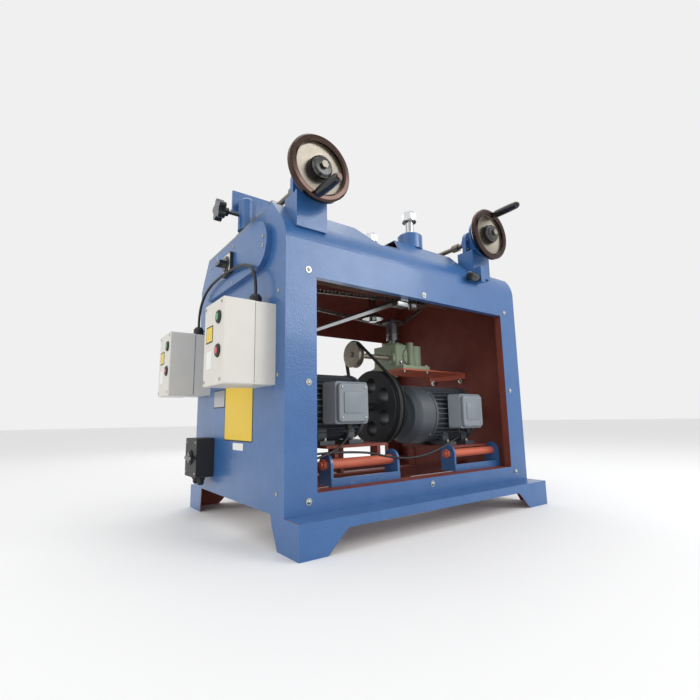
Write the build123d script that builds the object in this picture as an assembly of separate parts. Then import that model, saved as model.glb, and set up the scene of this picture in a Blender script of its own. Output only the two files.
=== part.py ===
from build123d import *
import os
from math import cos, pi, radians, sin

os.makedirs("parts", exist_ok=True)

# ---------------------------------------------------------------- driving dimensions (mm)
# While it is drawn, X runs along the machine from its middle, Y from the face of the
# motor bay towards the back, and Z up from the floor.

# cabinet
LENGTH = 1000.0             # over the two end panels
DEPTH = 690.0               # over the front and back frames
SEAM_Z = 683.0              # top of the cabinet, where the head starts
TABLE_Z = 905.0             # working height
SHEET = 3.0                 # cabinet and head sheet
BASE_H = 79.0               # height of the skirts
NEAR_STEP = 71.0            # how far the near skirt stands out
FAR_STEP = 42.0             # how far the far skirt stands out
POST_W = 92.0               # width of the four corner posts
SCREW_HOLE_R = 3.0
RAIL_TOP = 128.0            # top of the bottom rails
FLANGE = 26.0               # inward lips of the posts
RAIL_LIP = 60.0             # inward lip of the bottom rails
SKIRT_CUT_H = 54.0          # height of the toe space in the skirts
FOOT_LEFT = 74.0            # foot widths at the floor
FOOT_RIGHT = 104.0
FOOT_SLANT = 46.0
END_FOOT = 104.0            # foot length on the end panels

# head
HEAD_BEND_Z = 770.0         # where the near wall starts to roll inward
HEAD_BEND_R = 110.0
HEAD_BEND_DEG = 42.0
TABLE_NEAR = 136.0          # near edge of the table plate
TABLE_FAR = 620.0
TABLE_T = 6.0
LIP_TOP_Y = 83.0            # crest of the raised lips
FAR_BEND_Z = 800.0
CUT_LEFT = (-215.0, -150.0)   # left lip: end of its crest, end of its foot
LIP_MID = (-45.0, 235.0)      # middle lip, ends of its crest
LIP_SLANT = 27.0
END_COVER_R = 70.0          # half-height of the raised cover on the left end
END_COVER_Y = 152.0
END_COVER_Z = 798.0
END_COVER_FAR = 560.0
END_COVER_D = 16.0

# drum and its drive
DRUM_R = 75.0
DRUM_Y = 233.5
DRUM_PROUD = 1.5            # how far the abrasive stands above the table
DRUM_L = 780.0
SLOT_SIDE = 8.0             # side play of the drum in its slot
DRUM_SHAFT_R = 17.5
DRUM_PULLEY_R = 48.0
DRUM_MOTOR_PULLEY_R = 66.0
BELT_W = 13.0
BELT_T = 9.0
GUARD_DEPTH = 74.0
RUN_FIT = 0.05              # radial running clearance
AIR = 0.4                   # gap between pieces that only pass each other

# feed spindles
SPINDLE_X = 68.0
SPINDLE_SPREAD = 223.0      # between the near and the far spindle
SPINDLE_R = 15.0
SPINDLE_TOP = 1046.0
HOUSING_R = 45.0
HOUSING_H = 57.0
CHAIN_Z = 699.0
CHAIN_H = 11.0
SPROCKET_R = 41.0
IDLER_R = 62.0
IDLER_X = -395.0

# motors
MOTOR_Y = 205.0
MOTOR_R = 103.0
FEED_MOTOR_Z = 345.0
FEED_MOTOR_X = -150.0       # face of the drive end shield
DRUM_MOTOR_Z = 320.0
DRUM_MOTOR_X = 380.0
MOTOR_L = 335.0
COWL_L = 88.0
TERMINAL_BACK = 102.0       # terminal box, behind the drive face
MOUNT_HALF = 124.0          # half length of a mount bracket, over its ears
MOUNT_TUBE_R = 14.0
MOUNT_TUBE_H = 56.0         # tube axis above the rail
FEED_MOUNT_X = -210.0
DRUM_MOUNT_X = 288.0
MOTOR_SHAFT_R = 12.0
FEET_DROP = 112.0           # from the motor's axis down to its feet

# gearbox
WORM_Y = 327.0
WORM_Z = 542.0
CENTRE_DISTANCE = 40.0      # worm axis to output axis
GEAR_X = (140.0, 258.0)
SHELF_Z = 495.0
SHELF_T = 6.0
SMALL_PULLEY_R = 48.0
BIG_PULLEY_R = 124.0
FEED_BELT_X = -43.0

# handwheels
WHEEL_R = 94.0
WHEEL_Z = 968.0
WHEEL_LEFT_X = -424.0
WHEEL_RIGHT_X = 311.0
WHEEL_Y = -44.0             # middle of the rims
SCREW_R = 9.0
SLIDE_TRAVEL = 40.0

# controls
BOX_W = 140.0
BOX_D = 140.0
BOX_H = 215.0



# ---------------------------------------------------------------- derived places
NODES = {}
LEFT = -LENGTH / 2
RIGHT = LENGTH / 2
NEAR_SPINDLE_Y = DRUM_Y - SPINDLE_SPREAD / 2
FAR_SPINDLE_Y = DRUM_Y + SPINDLE_SPREAD / 2
DRUM_Z = TABLE_Z + DRUM_PROUD - DRUM_R
OUTPUT_X = (GEAR_X[0] + GEAR_X[1]) / 2 - 8
OUTPUT_Y = WORM_Y + CENTRE_DISTANCE
BEND_Y = HEAD_BEND_R * (1 - cos(radians(HEAD_BEND_DEG)))
BEND_Z = HEAD_BEND_Z + HEAD_BEND_R * sin(radians(HEAD_BEND_DEG))
SHELL_TOP = TABLE_Z - TABLE_T
DRUM_BELT_X = RIGHT + 34.0


# ---------------------------------------------------------------- small helpers
def block(x0, x1, y0, y1, z0, z1):
    """A box between two opposite corners."""
    return Pos((x0 + x1) / 2, (y0 + y1) / 2, (z0 + z1) / 2) * Box(x1 - x0, y1 - y0, z1 - z0)


def rod_x(x0, x1, y, z, r):
    """A round bar along X."""
    return Pos((x0 + x1) / 2, y, z) * Rot(0, 90, 0) * Cylinder(r, x1 - x0)


def rod_y(y0, y1, x, z, r):
    """A round bar along Y."""
    return Pos(x, (y0 + y1) / 2, z) * Rot(90, 0, 0) * Cylinder(r, y1 - y0)


def rod_z(z0, z1, x, y, r):
    """A round bar along Z."""
    return Pos(x, y, (z0 + z1) / 2) * Cylinder(r, z1 - z0)


def plate_y(points, y0, y1):
    """A flat outline of (x, z) points, thick from y0 to y1."""
    face = make_face(Polyline(*[(x, y0, z) for x, z in points], close=True))
    return extrude(face, amount=y1 - y0, dir=(0, 1, 0))


def plate_x(points, x0, x1):
    """A flat outline of (y, z) points, thick from x0 to x1."""
    face = make_face(Polyline(*[(x0, y, z) for y, z in points], close=True))
    return extrude(face, amount=x1 - x0, dir=(1, 0, 0))


def plate_z(points, z0, z1):
    """A flat outline of (x, y) points, thick from z0 to z1."""
    face = make_face(Polyline(*[(x, y, z0) for x, y in points], close=True))
    return extrude(face, amount=z1 - z0, dir=(0, 0, 1))


def turned(points):
    """A solid of revolution about Z from (radius, height) points."""
    face = make_face(Polyline(*[(r, 0, h) for r, h in points], close=True))
    return revolve(face, Axis.Z, 360)


def facing_near(solid, x, y, z):
    """Turn a solid made along +Z so that it points at the near side."""
    return Pos(x, y, z) * Rot(90, 0, 0) * solid


def facing_left(solid, x, y, z):
    """Turn a solid made along +Z so that it points at the left end."""
    return Pos(x, y, z) * Rot(0, -90, 0) * solid


def facing_right(solid, x, y, z):
    """Turn a solid made along +Z so that it points at the right end."""
    return Pos(x, y, z) * Rot(0, 90, 0) * solid


def keep(name, shape):
    """File a finished piece under its name, beside any piece already filed there."""
    NODES[name] = group([NODES[name], shape]) if name in NODES else shape


def group(shapes):
    """Several separate solids as one shape."""
    solids = []
    for shape in shapes:
        solids.extend(shape.solids())
    return Compound(children=solids)


def grooved_pulley(radius, width, bore, grooves, depth):
    """A turned pulley with V grooves, along Z, centred on its width."""
    half = width / 2
    pitch = width / grooves
    points = [(bore, -half), (radius, -half)]
    for index in range(grooves):
        middle = -half + pitch * (index + 0.5)
        points.append((radius, middle - pitch * 0.40))
        points.append((radius - depth, middle - pitch * 0.18))
        points.append((radius - depth, middle + pitch * 0.18))
        points.append((radius, middle + pitch * 0.40))
    points.append((radius, half))
    points.append((bore, half))
    return turned(points)


def loop_band(circles, thickness, height):
    """A flat endless band around circles of (x, y, r), taken anticlockwise.

    The band lies on the circles in the XY plane and is centred on Z = 0.
    """
    def outline(extra):
        discs = [Pos(x, y, 0) * Circle(r + extra) for x, y, r in circles]
        return make_hull([edge for disc in discs for edge in disc.edges()])

    ring = outline(thickness) - outline(0)
    return extrude(ring, amount=height / 2, both=True)


def screw(radius, head_h, shank_r, shank_l, washer_r):
    """A dome-head screw with its washer, head towards +Z, seat at Z = 0."""
    washer = Cylinder(washer_r, 1.6, align=(Align.CENTER, Align.CENTER, Align.MIN))
    sphere_r = (radius ** 2 + head_h ** 2) / (2 * head_h)
    cap = Pos(0, 0, 1.6 + head_h - sphere_r) * Sphere(sphere_r)
    head = cap & Pos(0, 0, 1.6) * Cylinder(radius, head_h, align=(Align.CENTER, Align.CENTER, Align.MIN))
    shank = Cylinder(shank_r, shank_l, align=(Align.CENTER, Align.CENTER, Align.MAX))
    return washer + head + shank


def hex_bolt(flats, head_h, shank_r, shank_l):
    """A hexagon bolt, head towards +Z, seat at Z = 0."""
    head = extrude(RegularPolygon(flats / 2, 6, major_radius=False), amount=head_h)
    shank = Cylinder(shank_r, shank_l, align=(Align.CENTER, Align.CENTER, Align.MAX))
    return head + shank


# ---------------------------------------------------------------- cabinet
def screw_spots():
    """Places (x, z) of the cover screws around a service opening."""
    top, middle, low = SEAM_Z + 15, (SEAM_Z + RAIL_TOP) / 2 - 5, RAIL_TOP - 18
    side = POST_W - 25
    return [(LEFT + side, top), (0, top), (RIGHT - side, top), (LEFT + side, middle), (RIGHT - side, middle),
            (LEFT + side, low), (0, low), (RIGHT - side, low)]


def drilled(sheet, spots):
    """A sheet with its screw holes, through both long walls."""
    for x, z in spots:
        sheet -= rod_y(-1, SHEET + 1, x, z, SCREW_HOLE_R)
        sheet -= rod_y(DEPTH - SHEET - 1, DEPTH + 1, x, z, SCREW_HOLE_R)
    return sheet


def end_panel(x0, x1):
    """A full-height end panel, feet and toe space included."""
    outline = [
        (-NEAR_STEP, 0), (END_FOOT - NEAR_STEP, 0), (END_FOOT - NEAR_STEP + 30, BASE_H - 28),
        (END_FOOT - NEAR_STEP + 38, BASE_H), (DEPTH + FAR_STEP - END_FOOT - 20, BASE_H),
        (DEPTH + FAR_STEP - END_FOOT - 12, 0), (DEPTH + FAR_STEP, 0), (DEPTH + FAR_STEP, BASE_H),
        (DEPTH, BASE_H), (DEPTH, SEAM_Z), (0, SEAM_Z), (0, BASE_H), (-NEAR_STEP, BASE_H),
    ]
    return plate_x(outline, x0, x1)


def frame_sheet(y_out, y_in):
    """A portal of two posts and a bottom rail, with lips turned inward.

    The outer face lies at y_out and the sheet grows towards y_in.
    """
    way = 1 if y_in > y_out else -1
    low, high = LEFT + SHEET, RIGHT - SHEET

    def span(depth):
        return sorted((y_out, y_out + way * depth))

    y0, y1 = span(SHEET)
    sheet = block(low, high, y0, y1, BASE_H, SEAM_Z)
    sheet -= block(LEFT + POST_W, RIGHT - POST_W, y0 - 1, y1 + 1, RAIL_TOP, SEAM_Z + 1)
    y0, y1 = span(FLANGE)
    for x0 in (LEFT + POST_W - SHEET, RIGHT - POST_W):
        sheet += block(x0, x0 + SHEET, y0, y1, RAIL_TOP, SEAM_Z)
    y0, y1 = span(RAIL_LIP)
    sheet += block(low, high, y0, y1, RAIL_TOP - SHEET, RAIL_TOP)
    return sheet


def skirt(y_out, y_in, left_foot, right_foot):
    """A folded skirt: a ledge on top and a face with a toe space."""
    y0, y1 = sorted((y_out, y_in))
    face_in = y_out + (SHEET if y_in > y_out else -SHEET)
    f0, f1 = sorted((y_out, face_in))
    low, high = LEFT + SHEET, RIGHT - SHEET
    rise = SKIRT_CUT_H - 10
    outline = [
        (low, 0), (low + left_foot, 0), (low + left_foot + FOOT_SLANT, rise),
        (low + left_foot + FOOT_SLANT + 14, SKIRT_CUT_H),
        (high - right_foot - FOOT_SLANT - 14, SKIRT_CUT_H),
        (high - right_foot - FOOT_SLANT, rise), (high - right_foot, 0), (high, 0),
        (high, BASE_H), (low, BASE_H),
    ]
    return plate_y(outline, f0, f1) + block(low, high, y0, y1, BASE_H - SHEET, BASE_H)


def cabinet():
    """The sheet-metal cabinet on its four feet."""
    shaft_hole = rod_x(RIGHT - SHEET - 1, RIGHT + 1, MOTOR_Y, DRUM_MOTOR_Z, MOTOR_SHAFT_R + 6)
    right_panel = end_panel(RIGHT - SHEET, RIGHT) - shaft_hole
    keep("end_panels", group([end_panel(LEFT, LEFT + SHEET), right_panel]))
    frame_spots = [spot for spot in screw_spots() if spot[1] < SEAM_Z]
    keep("front_frame", drilled(frame_sheet(0, SHEET), frame_spots))
    keep("back_frame", drilled(frame_sheet(DEPTH, DEPTH - SHEET), frame_spots))
    near_skirt = skirt(-NEAR_STEP, 0, FOOT_LEFT, FOOT_RIGHT)
    keep("skirts", group([near_skirt, skirt(DEPTH + FAR_STEP, DEPTH, END_FOOT, END_FOOT)]))
    rail_y = MOTOR_Y + 75
    rail = block(LEFT + SHEET, RIGHT - SHEET, rail_y, rail_y + 40, RAIL_TOP - 5, RAIL_TOP)
    rail += block(LEFT + SHEET, RIGHT - SHEET, rail_y + 35, rail_y + 40, RAIL_TOP - 45, RAIL_TOP - 5)
    keep("motor_rail", rail)
    shelf_y0, shelf_y1 = WORM_Y - 77, OUTPUT_Y + 85
    shelf = block(GEAR_X[0] - 8, RIGHT - SHEET, shelf_y0, shelf_y1, SHELF_Z - SHELF_T, SHELF_Z)
    shelf += block(RIGHT - SHEET - 5, RIGHT - SHEET, shelf_y0, shelf_y1, SHELF_Z - 26, SHELF_Z - SHELF_T)
    keep("gearbox_shelf", shelf)


# ---------------------------------------------------------------- head
def near_profile(inset):
    """Points (y, z) of the rolled near wall, moved inward by the inset."""
    points = [(inset, SEAM_Z)]
    steps = 8
    for index in range(steps + 1):
        angle = radians(HEAD_BEND_DEG * index / steps)
        radius = HEAD_BEND_R - inset
        points.append((HEAD_BEND_R - radius * cos(angle), HEAD_BEND_Z + radius * sin(angle)))
    return points


def head_section(inset):
    """Points (y, z) around the head, open side down."""
    points = near_profile(inset)
    points.append((TABLE_NEAR + inset, SHELL_TOP - inset))
    points.append((TABLE_FAR - inset, SHELL_TOP - inset))
    points.append((DEPTH - 28 - inset, FAR_BEND_Z + 42))
    points.append((DEPTH - inset, FAR_BEND_Z - inset))
    points.append((DEPTH - inset, SEAM_Z))
    return points


def lip(x_top0, x_top1, x_foot0, x_foot1):
    """A raised lip between the rolled wall and the table, with slanted ends."""
    length0, length1 = min(x_top0, x_foot0), max(x_top1, x_foot1)
    section = make_face(Polyline(
        (length0, BEND_Y, BEND_Z), (length0, LIP_TOP_Y, TABLE_Z), (length0, TABLE_NEAR, TABLE_Z),
        (length0, TABLE_NEAR, SHELL_TOP), close=True))
    solid = extrude(section, amount=length1 - length0, dir=(1, 0, 0))
    hollow = [(LIP_TOP_Y - 34, TABLE_Z - 44), (LIP_TOP_Y + 1, TABLE_Z - SHEET), (TABLE_NEAR - SHEET - 6, TABLE_Z - SHEET)]
    solid -= plate_x(hollow, length0 + 3, length1 - 3)
    window = plate_y([(x_foot0, BEND_Z - 5), (x_foot1, BEND_Z - 5), (x_top1, TABLE_Z + 1), (x_top0, TABLE_Z + 1)],
                     -10, TABLE_NEAR + 10)
    return solid & window


def head():
    """The head: folded casing, its end plates, the table plate and its lips."""
    slot_y0, slot_y1 = DRUM_Y - 40, DRUM_Y + 40
    slot = block(-DRUM_L / 2 - SLOT_SIDE, DRUM_L / 2 + SLOT_SIDE, slot_y0, slot_y1, SHELL_TOP - 20, TABLE_Z + 5)
    spindle_holes = [
        rod_z(SHELL_TOP - 60, TABLE_Z + 5, SPINDLE_X, y, 24) for y in (NEAR_SPINDLE_Y, FAR_SPINDLE_Y)
    ]
    low, high = LEFT + SHEET, RIGHT - SHEET
    casing = plate_x(head_section(0), low, high) - plate_x(head_section(SHEET)[::-1], low - 1, high + 1)
    casing -= block(low - 1, high + 1, SHEET, DEPTH - SHEET, SEAM_Z - 1, SEAM_Z + 1)
    near_flange = block(low, high, SHEET, 22, SEAM_Z, SEAM_Z + SHEET)
    casing = casing + near_flange - slot
    for hole in spindle_holes:
        casing -= hole
    keep("head_casing", drilled(casing, [spot for spot in screw_spots() if spot[1] > SEAM_Z]))

    plate = block(LEFT, RIGHT, TABLE_NEAR, TABLE_FAR, SHELL_TOP, TABLE_Z) - slot
    for hole in spindle_holes:
        plate -= hole
    keep("table_plate", plate)

    left_lip = lip(LEFT + SHEET, CUT_LEFT[0], LEFT + SHEET, CUT_LEFT[1])
    middle_lip = lip(LIP_MID[0], LIP_MID[1], LIP_MID[0] - LIP_SLANT, LIP_MID[1] + LIP_SLANT)
    for hole in spindle_holes:
        middle_lip -= hole
    keep("table_lips", group([left_lip, middle_lip]))

    end_outline = near_profile(0) + [
        (LIP_TOP_Y, TABLE_Z), (TABLE_NEAR, TABLE_Z), (TABLE_NEAR, SHELL_TOP), (TABLE_FAR, SHELL_TOP),
        (DEPTH - 28, FAR_BEND_Z + 42), (DEPTH, FAR_BEND_Z), (DEPTH, SEAM_Z),
    ]
    right_outline = near_profile(0) + [
        (TABLE_NEAR, SHELL_TOP), (TABLE_FAR, SHELL_TOP),
        (DEPTH - 28, FAR_BEND_Z + 42), (DEPTH, FAR_BEND_Z), (DEPTH, SEAM_Z),
    ]
    bearing_hole = DRUM_SHAFT_R + 6
    left = plate_x(end_outline, LEFT, LEFT + SHEET) - rod_x(LEFT - 1, LEFT + SHEET + 1, DRUM_Y, DRUM_Z, bearing_hole)
    right = plate_x(right_outline, RIGHT - SHEET, RIGHT)
    right -= rod_x(RIGHT - SHEET - 1, RIGHT + 1, DRUM_Y, DRUM_Z, bearing_hole)
    keep("head_ends", group([left, right]))

    def pan(inset):
        radius = END_COVER_R - inset
        x0 = LEFT - END_COVER_D + inset
        body = rod_x(x0, LEFT, END_COVER_Y, END_COVER_Z, radius)
        return body + block(x0, LEFT, END_COVER_Y, END_COVER_FAR - inset, END_COVER_Z - radius, END_COVER_Z + radius)
    keep("drum_end_cover", pan(0) - pan(2))


# ---------------------------------------------------------------- drum and its drive
def bearing_unit(y, z, x0, way, bore):
    """A square flange bearing bolted to an end plate, growing inward from x0."""
    x1 = x0 + way * 10
    x2 = x0 + way * 30
    low, high = sorted((x0, x1))
    unit = block(low, high, y - 42, y + 42, z - 42, z + 42)
    low, high = sorted((x1, x2))
    unit += rod_x(low, high, y, z, 36)
    low, high = sorted((x0, x2))
    return unit - rod_x(low - 1, high + 1, y, z, bore)


def drum():
    """The sanding drum in its bearings, its pulley, belt and guard."""
    core = rod_x(-DRUM_L / 2, DRUM_L / 2, DRUM_Y, DRUM_Z, DRUM_R - 2.5)
    core -= rod_x(-DRUM_L / 2 - 1, DRUM_L / 2 + 1, DRUM_Y, DRUM_Z, DRUM_R - 14)
    for x in (-DRUM_L / 2, DRUM_L / 2 - 14):
        core += rod_x(x, x + 14, DRUM_Y, DRUM_Z, DRUM_R - 8)
    core -= rod_x(-DRUM_L / 2 - 1, DRUM_L / 2 + 1, DRUM_Y, DRUM_Z, DRUM_SHAFT_R)
    keep("drum_core", core)
    sleeve = rod_x(-DRUM_L / 2, DRUM_L / 2, DRUM_Y, DRUM_Z, DRUM_R)
    keep("abrasive_sleeve", sleeve - rod_x(-DRUM_L / 2 - 1, DRUM_L / 2 + 1, DRUM_Y, DRUM_Z, DRUM_R - 2.5))
    shaft_end = DRUM_BELT_X + BELT_W
    shaft = rod_x(LEFT - 6, shaft_end, DRUM_Y, DRUM_Z, DRUM_SHAFT_R)
    bore = DRUM_SHAFT_R + RUN_FIT
    bearings = [bearing_unit(DRUM_Y, DRUM_Z, x0, way, bore) for x0, way in ((LEFT + SHEET, 1), (RIGHT - SHEET, -1))]
    keep("drum_bearings", group(bearings))

    pulley = grooved_pulley(DRUM_PULLEY_R, BELT_W + 8, DRUM_SHAFT_R, 1, BELT_T)
    keep("drum_shaft", group([shaft, facing_right(pulley, DRUM_BELT_X, DRUM_Y, DRUM_Z)]))
    lift = AIR
    band = loop_band(
        [(DRUM_Y, DRUM_Z, DRUM_PULLEY_R + lift), (MOTOR_Y, DRUM_MOTOR_Z, DRUM_MOTOR_PULLEY_R + lift)],
        BELT_T / 2, BELT_W)
    keep("drum_belt", Pos(DRUM_BELT_X, 0, 0) * (Plane.YZ * band))

    def guard(inset):
        reach = 30 - inset
        discs = [
            Pos(DRUM_Y, DRUM_Z, 0) * Circle(DRUM_PULLEY_R + reach),
            Pos(MOTOR_Y, DRUM_MOTOR_Z, 0) * Circle(DRUM_MOTOR_PULLEY_R + reach),
        ]
        hull = make_hull([edge for disc in discs for edge in disc.edges()])
        depth = GUARD_DEPTH - inset
        return Pos(RIGHT, 0, 0) * (Plane.YZ * extrude(hull, amount=depth))

    shell = guard(0) - guard(2)
    keep("belt_guard", shell)


# ---------------------------------------------------------------- feed spindles and chain
def sprocket(radius, teeth, thickness, bore, hub_r, hub_l):
    """A roller-chain sprocket along Z, centred on its teeth, hub upward."""
    blank = Circle(radius + 2)
    notch = [
        Rot(0, 0, 360 * (index + 0.5) / teeth) * Pos(radius + 3, 0) * Circle(4.2) for index in range(teeth)
    ]
    face = blank - notch
    wheel = extrude(face, amount=thickness / 2, both=True)
    wheel += Pos(0, 0, hub_l / 2) * Cylinder(hub_r, hub_l)
    return wheel - Cylinder(bore, 4 * (hub_l + thickness))


def spindle(name, y):
    """One vertical feed spindle with its housing, nut and sprocket."""
    bore = SPINDLE_R + RUN_FIT
    housing = rod_z(TABLE_Z, TABLE_Z + HOUSING_H, SPINDLE_X, y, HOUSING_R)
    housing = chamfer(housing.edges().filter_by(GeomType.CIRCLE).sort_by(Axis.Z)[-1:], 6)
    neck = rod_z(SHELL_TOP - 30, TABLE_Z, SPINDLE_X, y, 23)
    housing = housing + neck - rod_z(SHELL_TOP - 40, TABLE_Z + HOUSING_H + 1, SPINDLE_X, y, bore)
    shaft = rod_z(CHAIN_Z - 14, SPINDLE_TOP, SPINDLE_X, y, SPINDLE_R)
    across = 46.0
    nut = extrude(RegularPolygon(across / 2, 6, major_radius=False), amount=24)
    washer = Pos(0, 0, -5) * Cylinder(26, 5, align=(Align.CENTER, Align.CENTER, Align.MIN))
    dome = Pos(0, 0, 20) * Sphere(across / 2 - 1)
    cap = dome & Pos(0, 0, 24) * Cylinder(40, 60, align=(Align.CENTER, Align.CENTER, Align.MIN))
    nut_z = SPINDLE_TOP - 26
    whole = Pos(SPINDLE_X, y, nut_z) * (nut + washer + cap)
    whole -= rod_z(nut_z - 10, SPINDLE_TOP, SPINDLE_X, y, SPINDLE_R)
    wheel = Pos(SPINDLE_X, y, CHAIN_Z) * sprocket(SPROCKET_R, 17, 7, SPINDLE_R, 24, 18)
    keep(f"feed_spindle_{name}", group([shaft, whole, wheel]))
    return housing


def feed_chain():
    """The chain with its driving and idling sprockets and the tension bar."""
    axle_r = 8.0
    wheel = Pos(IDLER_X, DRUM_Y, CHAIN_Z) * sprocket(IDLER_R, 26, 7, axle_r + RUN_FIT, 20, 14)
    keep("idler_sprocket", wheel)
    axle = rod_z(CHAIN_Z - 12, CHAIN_Z + 42, IDLER_X, DRUM_Y, axle_r)
    carrier = block(IDLER_X - 25, IDLER_X + 25, SHEET, DEPTH - SHEET, CHAIN_Z + 28, CHAIN_Z + 34)
    carrier -= rod_z(CHAIN_Z, CHAIN_Z + 60, IDLER_X, DRUM_Y, axle_r)
    reach = SPROCKET_R + 5.5
    circles = [
        (SPINDLE_X, NEAR_SPINDLE_Y, reach), (OUTPUT_X, OUTPUT_Y, reach),
        (SPINDLE_X, FAR_SPINDLE_Y, reach), (IDLER_X, DRUM_Y, IDLER_R + 5.5),
    ]
    keep("feed_chain", Pos(0, 0, CHAIN_Z) * loop_band(circles, 5, CHAIN_H))
    bar_x, bar_z = -66.0, SEAM_Z + SHEET + 1
    bar = block(bar_x - 16, bar_x + 16, SHEET + 19, DEPTH - SHEET, bar_z - 12, bar_z - 4)
    keep("chain_bars", group([axle, carrier, bar]))


# ---------------------------------------------------------------- gearbox
def gearbox():
    """The worm gearbox, its long input shaft and its upright output shaft."""
    x0, x1 = GEAR_X
    y0, y1 = WORM_Y - 30, OUTPUT_Y + 70
    base, top = SHELF_Z, WORM_Z + 66
    body = block(x0, x1, y0, y1, base + 14, top - 12)
    body = fillet(body.edges().filter_by(Axis.Z), 12)
    body += block(x0, x1 + 26, y0 - 42, y1 + 10, base, base + 14)
    body += rod_z(base + 14, top, OUTPUT_X, OUTPUT_Y, 42)
    body += rod_z(base + 14, top - 4, x0 + 70, y0 - 8, 14)
    body += rod_z(base + 14, top - 16, x1 - 14, y0 + 8, 30)
    body += rod_x(x0 - 10, x0, WORM_Y, WORM_Z, 27)
    body -= rod_z(base + 10, top + 1, OUTPUT_X, OUTPUT_Y, 12.5 + RUN_FIT)
    body -= rod_x(x0 - 20, x0 + 60, WORM_Y, WORM_Z, 10 + RUN_FIT)
    keep("gearbox_housing", body)
    worm = rod_x(FEED_BELT_X - 18, x0 + 58, WORM_Y, WORM_Z, 10)
    coupling = rod_z(top + 14, CHAIN_Z - 8, OUTPUT_X, OUTPUT_Y, 27)
    groove = rod_z(top + 32, top + 38, OUTPUT_X, OUTPUT_Y, 30) - rod_z(top + 32, top + 38, OUTPUT_X, OUTPUT_Y, 23)
    coupling -= rod_z(top, CHAIN_Z, OUTPUT_X, OUTPUT_Y, 12.5)
    shaft = rod_z(base + 16, CHAIN_Z + 10, OUTPUT_X, OUTPUT_Y, 12.5)
    wheel = Pos(OUTPUT_X, OUTPUT_Y, CHAIN_Z) * sprocket(SPROCKET_R, 17, 7, 12.5, 22, 14)
    keep("output_shaft", group([shaft, coupling - groove, wheel]))
    small = grooved_pulley(SMALL_PULLEY_R, 26, 10, 1, BELT_T)
    keep("worm_shaft", group([worm, facing_right(small, FEED_BELT_X, WORM_Y, WORM_Z)]))
    big = grooved_pulley(BIG_PULLEY_R, 44, MOTOR_SHAFT_R, 3, BELT_T)
    window_ring = [Rot(0, 0, 60 * k) * Pos(72, 0) * Cylinder(26, 60) for k in range(6)]
    for window in window_ring:
        big -= window
    keep("feed_motor_pulley", facing_right(big, FEED_BELT_X, MOTOR_Y, FEED_MOTOR_Z))
    band = loop_band(
        [(WORM_Y, WORM_Z, SMALL_PULLEY_R + AIR), (MOTOR_Y, FEED_MOTOR_Z, BIG_PULLEY_R + AIR)], BELT_T / 2, BELT_W)
    keep("feed_belt", Pos(FEED_BELT_X, 0, 0) * (Plane.YZ * band))


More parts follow.
